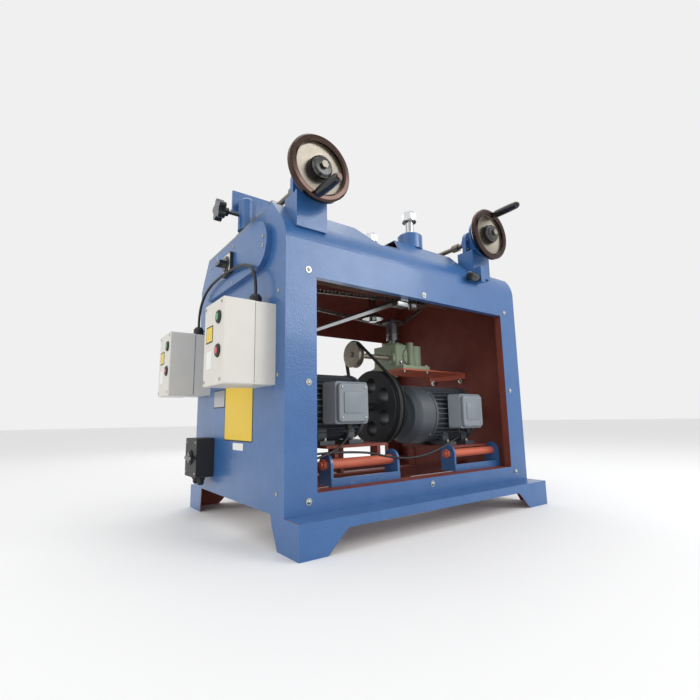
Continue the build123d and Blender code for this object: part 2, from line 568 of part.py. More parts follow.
# ---------------------------------------------------------------- motors
def motor(name, x_face, z, shaft_out, pulley=None):
    """A foot-mounted finned motor along X; its drive end faces the right.

    x_face is the face of the drive end shield and shaft_out the free end of its shaft.
    A pulley that is given is filed with the rotor.
    """
    y = MOTOR_Y
    x_tail = x_face - MOTOR_L
    cowl_l = COWL_L
    shield = 26.0
    core_r = MOTOR_R - 16
    x_fin0, x_fin1 = x_tail + cowl_l + 22, x_face - shield
    fin_count = 36
    section = Circle(core_r)
    for index in range(fin_count):
        section += Rot(0, 0, 360 * index / fin_count) * Pos(core_r + 5, 0) * Rectangle(18, 3)
    frame = facing_right(extrude(section, amount=x_fin1 - x_fin0), x_fin0, y, z)
    foot_z = z - FEET_DROP
    middle = x_face - TERMINAL_BACK
    for x in (middle - 76, middle + 26):
        for side in (-1, 1):
            inner, outer = sorted((y + side * 30, y + side * 92))
            frame += block(x, x + 50, inner, outer, foot_z, foot_z + 12)
            inner, outer = sorted((y + side * 45, y + side * 65))
            frame += block(x + 10, x + 40, inner, outer, foot_z + 6, z - 50)
    pad_y = y - MOTOR_R
    frame += block(middle - 50, middle + 50, pad_y - 2, y - core_r + 10, z - 44, z + 60)
    bore = MOTOR_SHAFT_R + RUN_FIT
    frame -= rod_x(x_fin0 - 1, x_fin1 + 1, y, z, core_r - 22)
    keep("motor_frames", frame)

    end = turned([(bore, 0), (MOTOR_R, 0), (MOTOR_R, 12), (MOTOR_R - 10, 18), (46, 20), (42, shield), (bore, shield)])
    tail = turned([(bore, 0), (30, 0), (34, 6), (MOTOR_R - 4, 6), (MOTOR_R - 4, 12), (MOTOR_R, 12), (MOTOR_R, 22), (bore, 22)])
    shields = [facing_right(end, x_fin1, y, z), facing_right(tail, x_fin0 - 22, y, z)]
    keep("motor_shields", group(shields))

    outer = [(0, 0), (60, 0), (72, 7), (86, 12), (MOTOR_R - 5, 26), (MOTOR_R, 34), (MOTOR_R, cowl_l + 9)]
    inner = [(MOTOR_R - 2, cowl_l + 9), (MOTOR_R - 2, 35), (MOTOR_R - 7, 28), (85, 14), (71, 9), (59, 2), (0, 2)]
    cowl = turned(outer + inner)
    for ring_r in (20, 35, 50):
        for index in range(int(ring_r / 2.4)):
            hole = Rot(0, 0, 360 * index / int(ring_r / 2.4)) * Pos(ring_r, 0) * Cylinder(5, 12)
            cowl -= hole
    keep("motor_cowls", facing_right(cowl, x_tail, y, z))

    blades = Cylinder(24, 30, align=(Align.CENTER, Align.CENTER, Align.MIN))
    for index in range(7):
        blade = Pos(46, 0, 0) * Box(56, 3, 26, align=(Align.CENTER, Align.CENTER, Align.MIN))
        blades += Rot(0, 0, 360 * index / 7) * blade
    blades -= Cylinder(MOTOR_SHAFT_R, 100)
    fan_x = x_tail + cowl_l - 40
    rotor = [facing_right(blades, fan_x, y, z), rod_x(fan_x - 4, shaft_out, y, z, MOTOR_SHAFT_R)]
    if pulley is not None:
        rotor.append(pulley)
    keep(f"{name}_motor_rotor", group(rotor))

    box_y0, box_y1 = pad_y - 40, pad_y - 2
    outer = Plane.XZ.offset(-box_y0) * Pos(middle, z + 8, 0) * RectangleRounded(116, 120, 10)
    inner = Plane.XZ.offset(-box_y1) * Pos(middle, z + 8, 0) * RectangleRounded(150, 120, 10)
    case = loft([outer, inner])
    lid = block(middle - 53, middle + 53, box_y0 - 12, box_y0, z - 47, z + 63)
    lid = fillet(lid.edges().filter_by(Axis.Y), 12)
    lid = fillet(lid.faces().sort_by(Axis.Y)[0].edges(), 5)
    keep("terminal_boxes", group([case, lid]))


def motor_mount(middle, z):
    """The blue bracket, the red tube on its pin and the cradle under a motor."""
    y = MOTOR_Y - 125
    x0, x1 = middle - MOUNT_HALF, middle + MOUNT_HALF
    base_z = RAIL_TOP
    tube_z = RAIL_TOP + MOUNT_TUBE_H
    bracket = block(x0, x1, y - 32, y + 32, base_z, base_z + 5)
    bracket += block(x0, x1, y - 32, y - 27, base_z, base_z + 22)
    for x in (x0, x1 - 8):
        bracket += block(x, x + 8, y - 30, y + 30, base_z, tube_z)
        bracket += rod_x(x, x + 8, y, tube_z, 30)
    bracket -= rod_x(x0 - 1, x1 + 1, y, tube_z, 8)
    tube = rod_x(x0 + 9, x1 - 9, y, tube_z, MOUNT_TUBE_R) - rod_x(x0, x1, y, tube_z, 8)
    pin = rod_x(x0 - 16, x1 + 16, y, tube_z, 8)
    for x in (x0 - 10, x1):
        pin += Pos(x, y, tube_z) * Rot(0, 90, 0) * extrude(RegularPolygon(13, 6, major_radius=False), amount=10)
    foot_z = z - FEET_DROP
    cradle = block(x0 + 12, x1 - 12, y + 10, MOTOR_Y + 110, foot_z - 8, foot_z)
    for x in (x0 + 40, x1 - 52):
        cradle += block(x, x + 12, y + 10, y + 45, tube_z - 6, foot_z - 4)
        cradle += block(x, x + 12, MOTOR_Y + 80, MOTOR_Y + 108, RAIL_TOP, foot_z - 4)
    return bracket, tube, pin, cradle - rod_x(x0, x1, y, tube_z, MOUNT_TUBE_R + 0.1)


# ---------------------------------------------------------------- handwheels and slides
def handwheel(x, nut_end, collar):
    """A dished handwheel with its hub bolt and its lead screw, as separate solids."""
    rim_w, rim_h = 20.0, 22.0
    rim_in = WHEEL_R - rim_w
    half = rim_h / 2
    soft = 5.0
    profile = [
        (SCREW_R, -30), (26, -30), (30, -12), (rim_in - 4, -9), (rim_in, -half + 1), (rim_in + soft, -half),
        (WHEEL_R - soft, -half), (WHEEL_R, -half + soft), (WHEEL_R, half - soft), (WHEEL_R - soft, half),
        (rim_in + soft, half), (rim_in, half - 4), (rim_in - 2, -4), (34, -7), (SCREW_R, -7),
    ]
    wheel = facing_near(turned(profile), x, WHEEL_Y, WHEEL_Z)
    hub = facing_near(turned([(SCREW_R, -7), (33, -7), (31, 14), (26, 20), (SCREW_R, 20)]), x, WHEEL_Y, WHEEL_Z)
    bolt = facing_near(hex_bolt(19, 9, 7, 0.5), x, WHEEL_Y - 20, WHEEL_Z)
    shaft = rod_y(WHEEL_Y - 19, nut_end + SLIDE_TRAVEL + 6, x, WHEEL_Z, SCREW_R)
    sleeve = rod_y(collar, collar + 28, x, WHEEL_Z, 15) - rod_y(collar - 1, collar + 29, x, WHEEL_Z, SCREW_R)
    return [wheel, hub, bolt, shaft, sleeve]


def wheel_grip(x, angle_deg):
    """The turning grip on its pin, standing out from the rim."""
    angle = radians(angle_deg)
    radius = WHEEL_R - 12
    gx, gz = x + radius * cos(angle), WHEEL_Z + radius * sin(angle)
    body = turned([(4, 0), (11, 0), (13.5, 12), (14, 60), (12.5, 92), (9, 98), (4, 98)])
    return facing_near(body, gx, WHEEL_Y - 12, gz)


def grip_pin(x, angle_deg):
    """The steel pin that the grip turns on, let into the rim."""
    angle = radians(angle_deg)
    radius = WHEEL_R - 12
    gx, gz = x + radius * cos(angle), WHEEL_Z + radius * sin(angle)
    pin = Cylinder(4 - RUN_FIT, 101, align=(Align.CENTER, Align.CENTER, Align.MIN))
    pin += Pos(0, 0, 99) * Cylinder(7, 2.5, align=(Align.CENTER, Align.CENTER, Align.MIN))
    return facing_near(pin, gx, WHEEL_Y - 11, gz)


def screw_bracket(x, on_lip):
    """The blue bracket that carries a lead screw above the rolled wall.

    on_lip says that the bracket's foot follows a raised lip and not the bare casing.
    """
    low, high = x - 44, x + 52
    head_z = TABLE_Z + 12
    pillar = block(low, high, 1, 70, BEND_Z - 28, head_z)
    if not on_lip:
        pillar += block(low, low + 22, LOCK_Y - 13, 30, LOCK_Z - 14, BEND_Z)
    crest = [(LIP_TOP_Y, TABLE_Z), (TABLE_NEAR, TABLE_Z)] if on_lip else [(TABLE_NEAR, SHELL_TOP)]
    pillar -= plate_x(near_profile(0) + crest + [(TABLE_NEAR, SEAM_Z)], low - 1, high + 1)
    upright = block(x - 38, x + 38, 34, 50, head_z, WHEEL_Z) + rod_y(34, 50, x, WHEEL_Z, 38)
    boss = rod_y(-12, 68, x, WHEEL_Z, 20)
    disc = rod_y(-12, -4, x, WHEEL_Z, 66)
    neck = block(x - 16, x + 16, -4, 34, head_z, WHEEL_Z)
    whole = pillar + upright + boss + disc + neck
    whole -= rod_x(low - 1, low + 18, LOCK_Y, LOCK_Z, 6 + RUN_FIT)
    return whole - rod_y(-20, 80, x, WHEEL_Z, SCREW_R + RUN_FIT)


LEFT_GRIP_DEG = -100.0
RIGHT_GRIP_DEG = 74.0
POST_X = -475.0
POST_Y = 325.0
POST_R = 28.0
LEFT_NUT = (206.0, 226.0)   # the nut blocks of the two slides along Y
RIGHT_NUT = (292.0, 324.0)
LOCK_Y = -17.0
LOCK_Z = 800.0
SLIDE_Z = TABLE_Z + 12


def adjusters():
    """Both handwheels with their brackets and the slides that they move."""
    left = handwheel(WHEEL_LEFT_X, LEFT_NUT[1], 78) + [grip_pin(WHEEL_LEFT_X, LEFT_GRIP_DEG)]
    right = handwheel(WHEEL_RIGHT_X, RIGHT_NUT[1], 96) + [grip_pin(WHEEL_RIGHT_X, RIGHT_GRIP_DEG)]
    keep("handwheel_left", group(cut_pin(left)))
    keep("handwheel_right", group(cut_pin(right)))
    keep("wheel_grip_left", wheel_grip(WHEEL_LEFT_X, LEFT_GRIP_DEG))
    keep("wheel_grip_right", wheel_grip(WHEEL_RIGHT_X, RIGHT_GRIP_DEG))
    keep("screw_brackets", group([screw_bracket(WHEEL_LEFT_X, True), screw_bracket(WHEEL_RIGHT_X, False)]))

    bore = SCREW_R + RUN_FIT
    low = TABLE_Z + AIR
    slide = block(LEFT + 8, WHEEL_LEFT_X + 14, LEFT_NUT[0], 372, low, SLIDE_Z)
    slide += block(WHEEL_LEFT_X - 18, WHEEL_LEFT_X + 14, LEFT_NUT[0], LEFT_NUT[1], SLIDE_Z, WHEEL_Z + 18)
    keep("fence_slide", slide - rod_y(100, 300, WHEEL_LEFT_X, WHEEL_Z, bore))
    slide = block(WHEEL_RIGHT_X - 42, WHEEL_RIGHT_X + 42, RIGHT_NUT[0], 420, low, SLIDE_Z)
    slide += block(WHEEL_RIGHT_X - 22, WHEEL_RIGHT_X + 22, RIGHT_NUT[0], RIGHT_NUT[1], SLIDE_Z, WHEEL_Z + 18)
    keep("guide_slide", slide - rod_y(200, 400, WHEEL_RIGHT_X, WHEEL_Z, bore))


def cut_pin(pieces):
    """Sink the last piece of a handwheel, its grip pin, into the rim."""
    wheel, rest, pin = pieces[0], pieces[1:-1], pieces[-1]
    return [wheel - pin] + rest + [pin]


def fence():
    """The post on the left slide, its fence plate and its clamp knob."""
    post = rod_z(SLIDE_Z, TABLE_Z + 113, POST_X, POST_Y, POST_R)
    dome = Pos(POST_X, POST_Y, TABLE_Z + 113 - 20) * Sphere(34.4)
    top = rod_z(TABLE_Z + 113, TABLE_Z + 140, POST_X, POST_Y, POST_R)
    post += dome & top
    clamp_z = TABLE_Z + 62
    post -= rod_x(POST_X - 40, POST_X, POST_Y, clamp_z, 5 + RUN_FIT)
    keep("fence_post", post - block(POST_X - 40, POST_X + 40, POST_Y + 24, POST_Y + 40, TABLE_Z + 60, TABLE_Z + 150))
    plate = block(POST_X - 40, POST_X + 230, POST_Y + 24, POST_Y + 32, TABLE_Z + 87, TABLE_Z + 157)
    plate += block(POST_X - 40, POST_X + 230, POST_Y + 32, POST_Y + 60, TABLE_Z + 87, TABLE_Z + 95)
    keep("fence_plate", plate)

    lobes = 5
    star = Circle(26)
    for index in range(lobes):
        star += Rot(0, 0, 360 * index / lobes) * Pos(25, 0) * Circle(10.5)
    knob = extrude(star, amount=22)
    knob += Pos(0, 0, -16) * Cylinder(14, 16, align=(Align.CENTER, Align.CENTER, Align.MIN))
    knob = knob + Pos(0, 0, -68) * Cylinder(5, 68, align=(Align.CENTER, Align.CENTER, Align.MIN))
    keep("star_knob", facing_left(knob, POST_X - POST_R - 52, POST_Y, clamp_z))

    lock_x = WHEEL_RIGHT_X - 44
    knob = turned([(0, -16), (6, -16), (6, 0.4), (11, 0.4), (11, 16), (15, 18), (17, 26), (17, 48), (12, 52), (0, 52)])
    keep("lock_knob", facing_left(knob, lock_x, LOCK_Y, LOCK_Z))


# ---------------------------------------------------------------- controls on the left end
NEAR_BOX_Y = 120.0
FAR_BOX_Y = 620.0
BOX_BOTTOM = 393.0
BUTTON_R = 9.0
BUTTON_TRAVEL = 4.0
GREEN_Z = 167.0             # button heights above the bottom of a box
RED_Z = 83.0
BUTTON_SHIFT = -40.0
GLAND_X = -528.0
CABLE_R = 4.5
SWITCH_Y = 357.0
SWITCH_Z = 803.0
ISOLATOR_Y = 550.0
ISOLATOR_Z = 190.0


def control_box(y):
    """A starter box: base, lid and the sockets of its two buttons."""
    x1 = LEFT
    x_seam = LEFT - BOX_D * 0.42
    x0 = LEFT - BOX_D
    y0, y1 = y - BOX_W / 2, y + BOX_W / 2
    z0, z1 = BOX_BOTTOM, BOX_BOTTOM + BOX_H
    base = block(x_seam, x1, y0 + 2, y1 - 2, z0 + 2, z1 - 2) - block(x_seam - 1, x1 - 4, y0 + 6, y1 - 6, z0 + 6, z1 - 6)
    lid = block(x0, x_seam, y0, y1, z0, z1)
    lid = fillet(lid.edges().filter_by(Axis.X), 6)
    lid = fillet(lid.faces().sort_by(Axis.X)[0].edges(), 4)
    lid -= block(x0 + 5, x_seam + 1, y0 + 5, y1 - 5, z0 + 5, z1 - 5)
    for height in (GREEN_Z, RED_Z):
        lid -= rod_x(x0 - 1, x0 + 24, y + BUTTON_SHIFT, z0 + height, BUTTON_R + 0.5)
    return [base, lid]


def button(y, height):
    """A push button in its socket."""
    x0 = LEFT - BOX_D
    return rod_x(x0 - 6, x0 + 16, y + BUTTON_SHIFT, BOX_BOTTOM + height, BUTTON_R)


def gland(radius, length):
    """A cable gland along +Z: nut, body and rounded cap with a bore for its cable."""
    nut = extrude(RegularPolygon(radius, 6, major_radius=False), amount=length * 0.4)
    body = turned([
        (CABLE_R, 0), (radius * 0.86, 0), (radius * 0.9, length * 0.78), (radius * 0.6, length), (CABLE_R, length)])
    return (nut + body) - Cylinder(CABLE_R, 3 * length)


def controls():
    """Starter boxes, buttons, glands, main switch and isolator."""
    keep("control_boxes", group(control_box(NEAR_BOX_Y) + control_box(FAR_BOX_Y)))
    for label, y in (("near", NEAR_BOX_Y), ("far", FAR_BOX_Y)):
        keep(f"start_button_{label}", button(y, GREEN_Z))
        keep(f"stop_button_{label}", button(y, RED_Z))

    box_top = BOX_BOTTOM + BOX_H
    glands = [Pos(GLAND_X, y, box_top - 2) * gland(19, 38) for y in (NEAR_BOX_Y, FAR_BOX_Y)]
    isolator_low = ISOLATOR_Z - 62
    for y in (ISOLATOR_Y - 24, ISOLATOR_Y + 24):
        glands.append(Pos(LEFT - 30, y, isolator_low) * Rot(180, 0, 0) * gland(12, 26))
    keep("cable_glands", group(glands))

    plate = block(LEFT - END_COVER_D - 10, LEFT - END_COVER_D, SWITCH_Y - 31, SWITCH_Y + 31, SWITCH_Z - 36, SWITCH_Z + 36)
    plate -= rod_x(LEFT - END_COVER_D - 11, LEFT - END_COVER_D + 1, SWITCH_Y, SWITCH_Z, 6 + RUN_FIT)
    case = block(LEFT - 58, LEFT, ISOLATOR_Y - 60, ISOLATOR_Y + 60, isolator_low, ISOLATOR_Z + 62)
    case = fillet(case.edges().filter_by(Axis.X), 8)
    case -= rod_x(LEFT - 59, LEFT - 40, ISOLATOR_Y, ISOLATOR_Z, 7 + RUN_FIT)
    keep("switch_cases", group([plate, case]))
    knob = turned([(0, -8), (6, -8), (6, 0.4), (22, 0.4), (22, 8), (0, 8)])
    knob += Pos(0, 0, 8) * Box(12, 40, 22, align=(Align.CENTER, Align.CENTER, Align.MIN))
    keep("selector_knob", facing_left(knob, LEFT - END_COVER_D - 10, SWITCH_Y, SWITCH_Z))
    lever = turned([(0, -16), (7, -16), (7, 0.4), (17, 0.4), (17, 8), (0, 8)])
    lever += Pos(0, -24, 8) * Box(10, 70, 9, align=(Align.CENTER, Align.CENTER, Align.MIN))
    keep("isolator_lever", facing_left(lever, LEFT - 58, ISOLATOR_Y, ISOLATOR_Z))


# ---------------------------------------------------------------- cables
CONTROL_ROUTE = [
    (120, 630), (120, 664), (126, 696), (148, 730), (190, 752), (250, 765), (330, 773), (415, 776),
    (495, 771), (557, 755), (600, 724), (616, 692), (620, 660), (620, 630),
]
DRUM_ROUTE = [
    (230, 80, 268), (230, 80, 252), (212, 69, 239), (178, 55, 233), (138, 46, 223), (95, 44, 209), (47, 44, 196),
    (-10, 43, 187), (-70, 44, 186), (-143, 43, 196), (-199, 44, 210), (-270, 43, 216), (-343, 44, 218),
    (-400, 43, 217), (-450, 44, 211), (LEFT + SHEET, 44, 211),
]
FEED_ROUTE = [
    (-252, 80, 293), (-252, 80, 272), (-272, 64, 250), (-300, 48, 236), (-335, 34, 222),
    (-385, 33, 207), (-440, 33, 201), (LEFT + SHEET, 33, 201),
]
MOTOR_CABLE_R = 3.2


def cable(route, radius):
    """A round cable of straight runs joined by the largest arcs that fit."""
    points = [Vector(*point) for point in route]
    radii = []
    for before, corner, after in zip(points, points[1:], points[2:]):
        turn = radians((corner - before).get_angle(after - corner))
        shorter = min((corner - before).length, (after - corner).length)
        radii.append(0.45 * shorter / tan_half(turn))
    line = FilletPolyline(*points, radius=radii)
    start = Plane(origin=points[0], z_dir=points[1] - points[0])
    print("cable", round(line.length), "mm, radii", [round(value) for value in radii])
    tube = sweep(start * Circle(radius), path=line)
    print("volume ratio", round(tube.volume / (pi * radius ** 2 * line.length), 4))
    return tube


def tan_half(angle):
    """The tangent of half an angle."""
    return sin(angle / 2) / cos(angle / 2)


def cables():
    """The control cable between the boxes and the two motor cables."""
    control = [(GLAND_X, y, z) for y, z in CONTROL_ROUTE]
    keep("control_cable", cable(control, CABLE_R))
    keep("motor_cables", group([cable(DRUM_ROUTE, MOTOR_CABLE_R), cable(FEED_ROUTE, MOTOR_CABLE_R)]))


# ---------------------------------------------------------------- fasteners
def fasteners():
    """The dome-head screws around both service openings and on the left end."""
    spots = screw_spots()
    kit = screw(6.2, 4.2, SCREW_HOLE_R, SHEET + 8, 8.5)
    placed = [facing_near(kit, x, 0, z) for x, z in spots]
    placed += [Pos(x, DEPTH, z) * Rot(-90, 0, 0) * kit for x, z in spots]
    keep("cover_screws", group(placed))


# ---------------------------------------------------------------- assembly
def build():
    """Make every piece, then move the whole to the middle of its own footprint."""
    cabinet()
    head()
    drum()
    housings = [spindle("near", NEAR_SPINDLE_Y), spindle("far", FAR_SPINDLE_Y)]
    keep("spindle_housings", group(housings))
    feed_chain()
    gearbox()
    motor("feed", FEED_MOTOR_X, FEED_MOTOR_Z, FEED_BELT_X + 22)
    pulley = grooved_pulley(DRUM_MOTOR_PULLEY_R, BELT_W + 8, MOTOR_SHAFT_R, 1, BELT_T)
    pulley = facing_right(pulley, DRUM_BELT_X, MOTOR_Y, DRUM_MOTOR_Z)
    motor("drum", DRUM_MOTOR_X, DRUM_MOTOR_Z, DRUM_BELT_X + BELT_W, pulley)
    mounts = [motor_mount(FEED_MOUNT_X, FEED_MOTOR_Z), motor_mount(DRUM_MOUNT_X, DRUM_MOTOR_Z)]
    brackets, tubes, pins, cradles = zip(*mounts)
    keep("mount_brackets", group(brackets))
    keep("mount_tubes", group(tubes + pins))
    keep("motor_cradles", group(cradles))
    adjusters()
    fence()
    controls()
    cables()
    fasteners()


def origin():
    """The middle of the footprint, in drawing coordinates."""
    boxes = [shape.bounding_box() for shape in NODES.values()]
    low = Vector(min(box.min.X for box in boxes), min(box.min.Y for box in boxes), min(box.min.Z for box in boxes))
    high = Vector(max(box.max.X for box in boxes), max(box.max.Y for box in boxes), 0)
    return Vector((low.X + high.X) / 2, (low.Y + high.Y) / 2, low.Z)


build()
ORIGIN = origin()
print("origin", [round(value, 3) for value in ORIGIN])
for node_name, node_shape in NODES.items():
    export_step(Pos(-ORIGIN.X, -ORIGIN.Y, -ORIGIN.Z) * node_shape, f"parts/{node_name}.step")
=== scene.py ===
"""Looks of a free-standing drum sander: finishes, small fittings, stage, light and camera.

Positions are stated in millimetres from the cabinet's datum (middle of the length, near
face of the cabinet, floor) and are placed on the frame by the Datum class.
"""

import logging
from dataclasses import dataclass, field
from enum import Enum
from math import atan2, cos, pi, radians, sin, sqrt, tau
from typing import Callable, Optional, Sequence

import bmesh
import bpy
from mathutils import Matrix, Vector


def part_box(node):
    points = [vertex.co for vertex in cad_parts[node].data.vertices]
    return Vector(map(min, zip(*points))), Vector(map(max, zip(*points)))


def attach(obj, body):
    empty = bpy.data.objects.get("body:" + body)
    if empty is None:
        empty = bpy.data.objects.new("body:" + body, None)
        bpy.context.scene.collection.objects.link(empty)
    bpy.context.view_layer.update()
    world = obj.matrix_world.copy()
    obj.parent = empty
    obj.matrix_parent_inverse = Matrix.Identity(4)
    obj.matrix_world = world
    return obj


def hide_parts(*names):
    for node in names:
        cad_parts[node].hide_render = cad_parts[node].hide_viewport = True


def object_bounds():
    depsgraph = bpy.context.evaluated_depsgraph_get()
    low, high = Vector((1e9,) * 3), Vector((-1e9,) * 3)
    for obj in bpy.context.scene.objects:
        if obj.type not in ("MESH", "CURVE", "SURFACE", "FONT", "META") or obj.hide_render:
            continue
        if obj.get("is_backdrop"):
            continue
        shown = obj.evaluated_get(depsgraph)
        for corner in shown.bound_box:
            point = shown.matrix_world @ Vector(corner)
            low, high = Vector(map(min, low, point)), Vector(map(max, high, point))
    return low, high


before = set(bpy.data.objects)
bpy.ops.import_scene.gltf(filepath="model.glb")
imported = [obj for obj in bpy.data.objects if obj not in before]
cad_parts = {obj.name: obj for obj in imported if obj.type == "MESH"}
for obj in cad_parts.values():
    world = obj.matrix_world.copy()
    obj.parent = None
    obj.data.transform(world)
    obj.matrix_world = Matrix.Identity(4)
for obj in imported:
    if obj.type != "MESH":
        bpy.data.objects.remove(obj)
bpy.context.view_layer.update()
LOG = logging.getLogger("drum_sander")
MM = 0.001
Point = tuple[float, float, float]


class Facing(Enum):
    """Directions that a fitting made along +Z can be turned to."""

    NEAR = "near"
    FAR = "far"
    LEFT = "left"
    RIGHT = "right"
    UP = "up"
    DOWN = "down"

    def matrix(self) -> Matrix:
        """Returns the rotation that turns +Z this way."""
        turns = {
            Facing.NEAR: Matrix.Rotation(radians(90), 4, "X"),
            Facing.FAR: Matrix.Rotation(radians(-90), 4, "X"),
            Facing.LEFT: Matrix.Rotation(radians(-90), 4, "Y"),
            Facing.RIGHT: Matrix.Rotation(radians(90), 4, "Y"),
            Facing.UP: Matrix.Identity(4),
            Facing.DOWN: Matrix.Rotation(radians(180), 4, "X"),
        }
        return turns[self]


class Datum:
    """Turns millimetres from the cabinet's datum into places in the frame."""

    def __init__(self) -> None:
        low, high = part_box("end_panels")
        self.x = (low.x + high.x) / 2
        self.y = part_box("front_frame")[0].y
        self.z = low.z

    def at(self, x: float, y: float, z: float) -> Vector:
        """Returns the place, in metres, of a point given in millimetres."""
        return Vector((self.x + x * MM, self.y + y * MM, self.z + z * MM))


DATUM = Datum()


# ------------------------------------------------------------------ finishes
def linear(hex_colour: str) -> tuple[float, float, float, float]:
    """Turns an sRGB colour such as "8899aa" into linear red, green, blue and alpha."""
    channels = [int(hex_colour[i:i + 2], 16) / 255 for i in (0, 2, 4)]
    values = [c / 12.92 if c <= 0.04045 else ((c + 0.055) / 1.055) ** 2.4 for c in channels]
    return (values[0], values[1], values[2], 1.0)


def add_node(tree: bpy.types.NodeTree, kind: str, props: Optional[dict] = None, **inputs: object) -> bpy.types.Node:
    """Adds a node, sets its properties and its inputs, and links any socket that is given.

    Args:
        tree: the node tree to add to.
        kind: the node's type name.
        props: attributes to set on the node.
        inputs: values or output sockets by input name, with _ for a space.
    Returns:
        The new node.
    """
    node = tree.nodes.new(kind)
    for key, value in (props or {}).items():
        setattr(node, key, value)
    for key, value in inputs.items():
        name = key.replace("_", " ")
        socket = node.inputs[int(key[1:])] if key[0] == "i" and key[1:].isdigit() else node.inputs[name]
        if isinstance(value, bpy.types.NodeSocket):
            tree.links.new(value, socket)
        else:
            socket.default_value = value
    return node


class Relief(Enum):
    """Small surface patterns."""

    NONE = "none"
    HAMMERED = "hammered"
    ORANGE_PEEL = "orange peel"
    CAST = "cast"
    BRUSHED = "brushed"
    GRIT = "grit"


@dataclass(frozen=True)
class Finish:
    """One surface finish.

    Sizes are in millimetres; mottling is a share from 0 to 1.
    """

    name: str
    colour: str
    roughness: float
    metallic: float = 0.0
    relief: Relief = Relief.NONE
    relief_mm: float = 4.0
    depth: float = 0.2
    second: str = ""
    mottling: float = 0.0
    mottle_mm: float = 60.0
    coat: float = 0.0
    brush_axis: str = "X"


BLUE = Finish("hammered enamel blue", "35649c", 0.3, relief=Relief.HAMMERED, relief_mm=3.2, depth=0.4,
              second="2e5a8f", mottling=0.6, coat=0.3)
PRIMER = Finish("red oxide primer", "7e3a2c", 0.62, relief=Relief.ORANGE_PEEL, relief_mm=2.5, depth=0.12,
                second="6b2f26", mottling=0.6)
ORANGE = Finish("orange red primer", "cc6a50", 0.5, relief=Relief.ORANGE_PEEL, relief_mm=3, depth=0.1,
                second="b8583f", mottling=0.5)
MOTOR_GREY = Finish("motor grey enamel", "4a5056", 0.42, relief=Relief.ORANGE_PEEL, relief_mm=3, depth=0.1,
                    second="434950", mottling=0.5)
TERMINAL_GREY = Finish("moulded grey plastic", "80878f", 0.45, relief=Relief.ORANGE_PEEL, relief_mm=1.2, depth=0.05,
                       second="777e86", mottling=0.4)
GREEN = Finish("pale green gearbox enamel", "9aa88c", 0.42, relief=Relief.CAST, relief_mm=5, depth=0.12,
               second="8b9a7f", mottling=0.6)
STEEL = Finish("ground steel", "a3a6a8", 0.3, 1.0, Relief.BRUSHED, 1.4, 0.05, "8d9092", 0.4)
TABLE_STEEL = Finish("planed table steel", "8f9395", 0.36, 1.0, Relief.BRUSHED, 1.6, 0.06, "7b7f82", 0.5, 90)
TURNED = Finish("turned steel", "96948f", 0.34, 1.0, Relief.BRUSHED, 1.2, 0.05, "7e7c77", 0.5)
DARK_STEEL = Finish("oiled chain steel", "7d7870", 0.42, 1.0, Relief.NONE, 1, 0, "5a564f", 0.7, 14)
CHROME = Finish("chrome plate", "b4b6b8", 0.2, 1.0, Relief.NONE, 1, 0, "a6a8aa", 0.3, 30)
ZINC = Finish("bright zinc plate", "b4b6b2", 0.25, 1.0, Relief.NONE, 1, 0, "9fa19d", 0.4, 8)
BRONZE_CHROME = Finish("brown chrome", "4e3f3a", 0.14, 1.0, Relief.NONE, 1, 0, "3e312d", 0.4, 30)
DISH = Finish("polished handwheel dish", "8f887e", 0.34, 1.0, Relief.NONE, 1, 0, "7c756b", 0.5, 24)
IRON = Finish("dark cast iron", "34373a", 0.5, 0.4, Relief.CAST, 4, 0.14, "2b2d30", 0.5)
PALE_IRON = Finish("bare cast pulley", "9c968a", 0.42, 0.7, Relief.CAST, 3, 0.08, "8a8478", 0.5)
BEIGE = Finish("beige box plastic", "d6d3cb", 0.42, relief=Relief.ORANGE_PEEL, relief_mm=1.4, depth=0.06,
               second="cfcbc2", mottling=0.4)
BLACK = Finish("black phenolic", "17181a", 0.22, coat=0.3, second="1d1e20", mottling=0.3)
MATT_BLACK = Finish("moulded black nylon", "1c1d1f", 0.5, relief=Relief.ORANGE_PEEL, relief_mm=1, depth=0.05)
RUBBER = Finish("black belt rubber", "1b1b1c", 0.7, relief=Relief.ORANGE_PEEL, relief_mm=1.5, depth=0.1)
SHEATH = Finish("cable sheath", "1a1b1d", 0.42)
GREEN_CAP = Finish("green push button", "1f8a4c", 0.25, coat=0.3)
RED_CAP = Finish("red push button", "c01f1f", 0.25, coat=0.3)
YELLOW = Finish("yellow label film", "e3bf2e", 0.4)
WHITE = Finish("white label film", "e6e6e2", 0.4)
SILVER = Finish("printed aluminium plate", "b9bcbe", 0.32, 0.8, Relief.BRUSHED, 1, 0.03)
GRIT_BROWN = Finish("brown abrasive cloth", "6a4330", 0.85, relief=Relief.GRIT, relief_mm=0.9, depth=0.5,
                    second="573626", mottling=0.6)


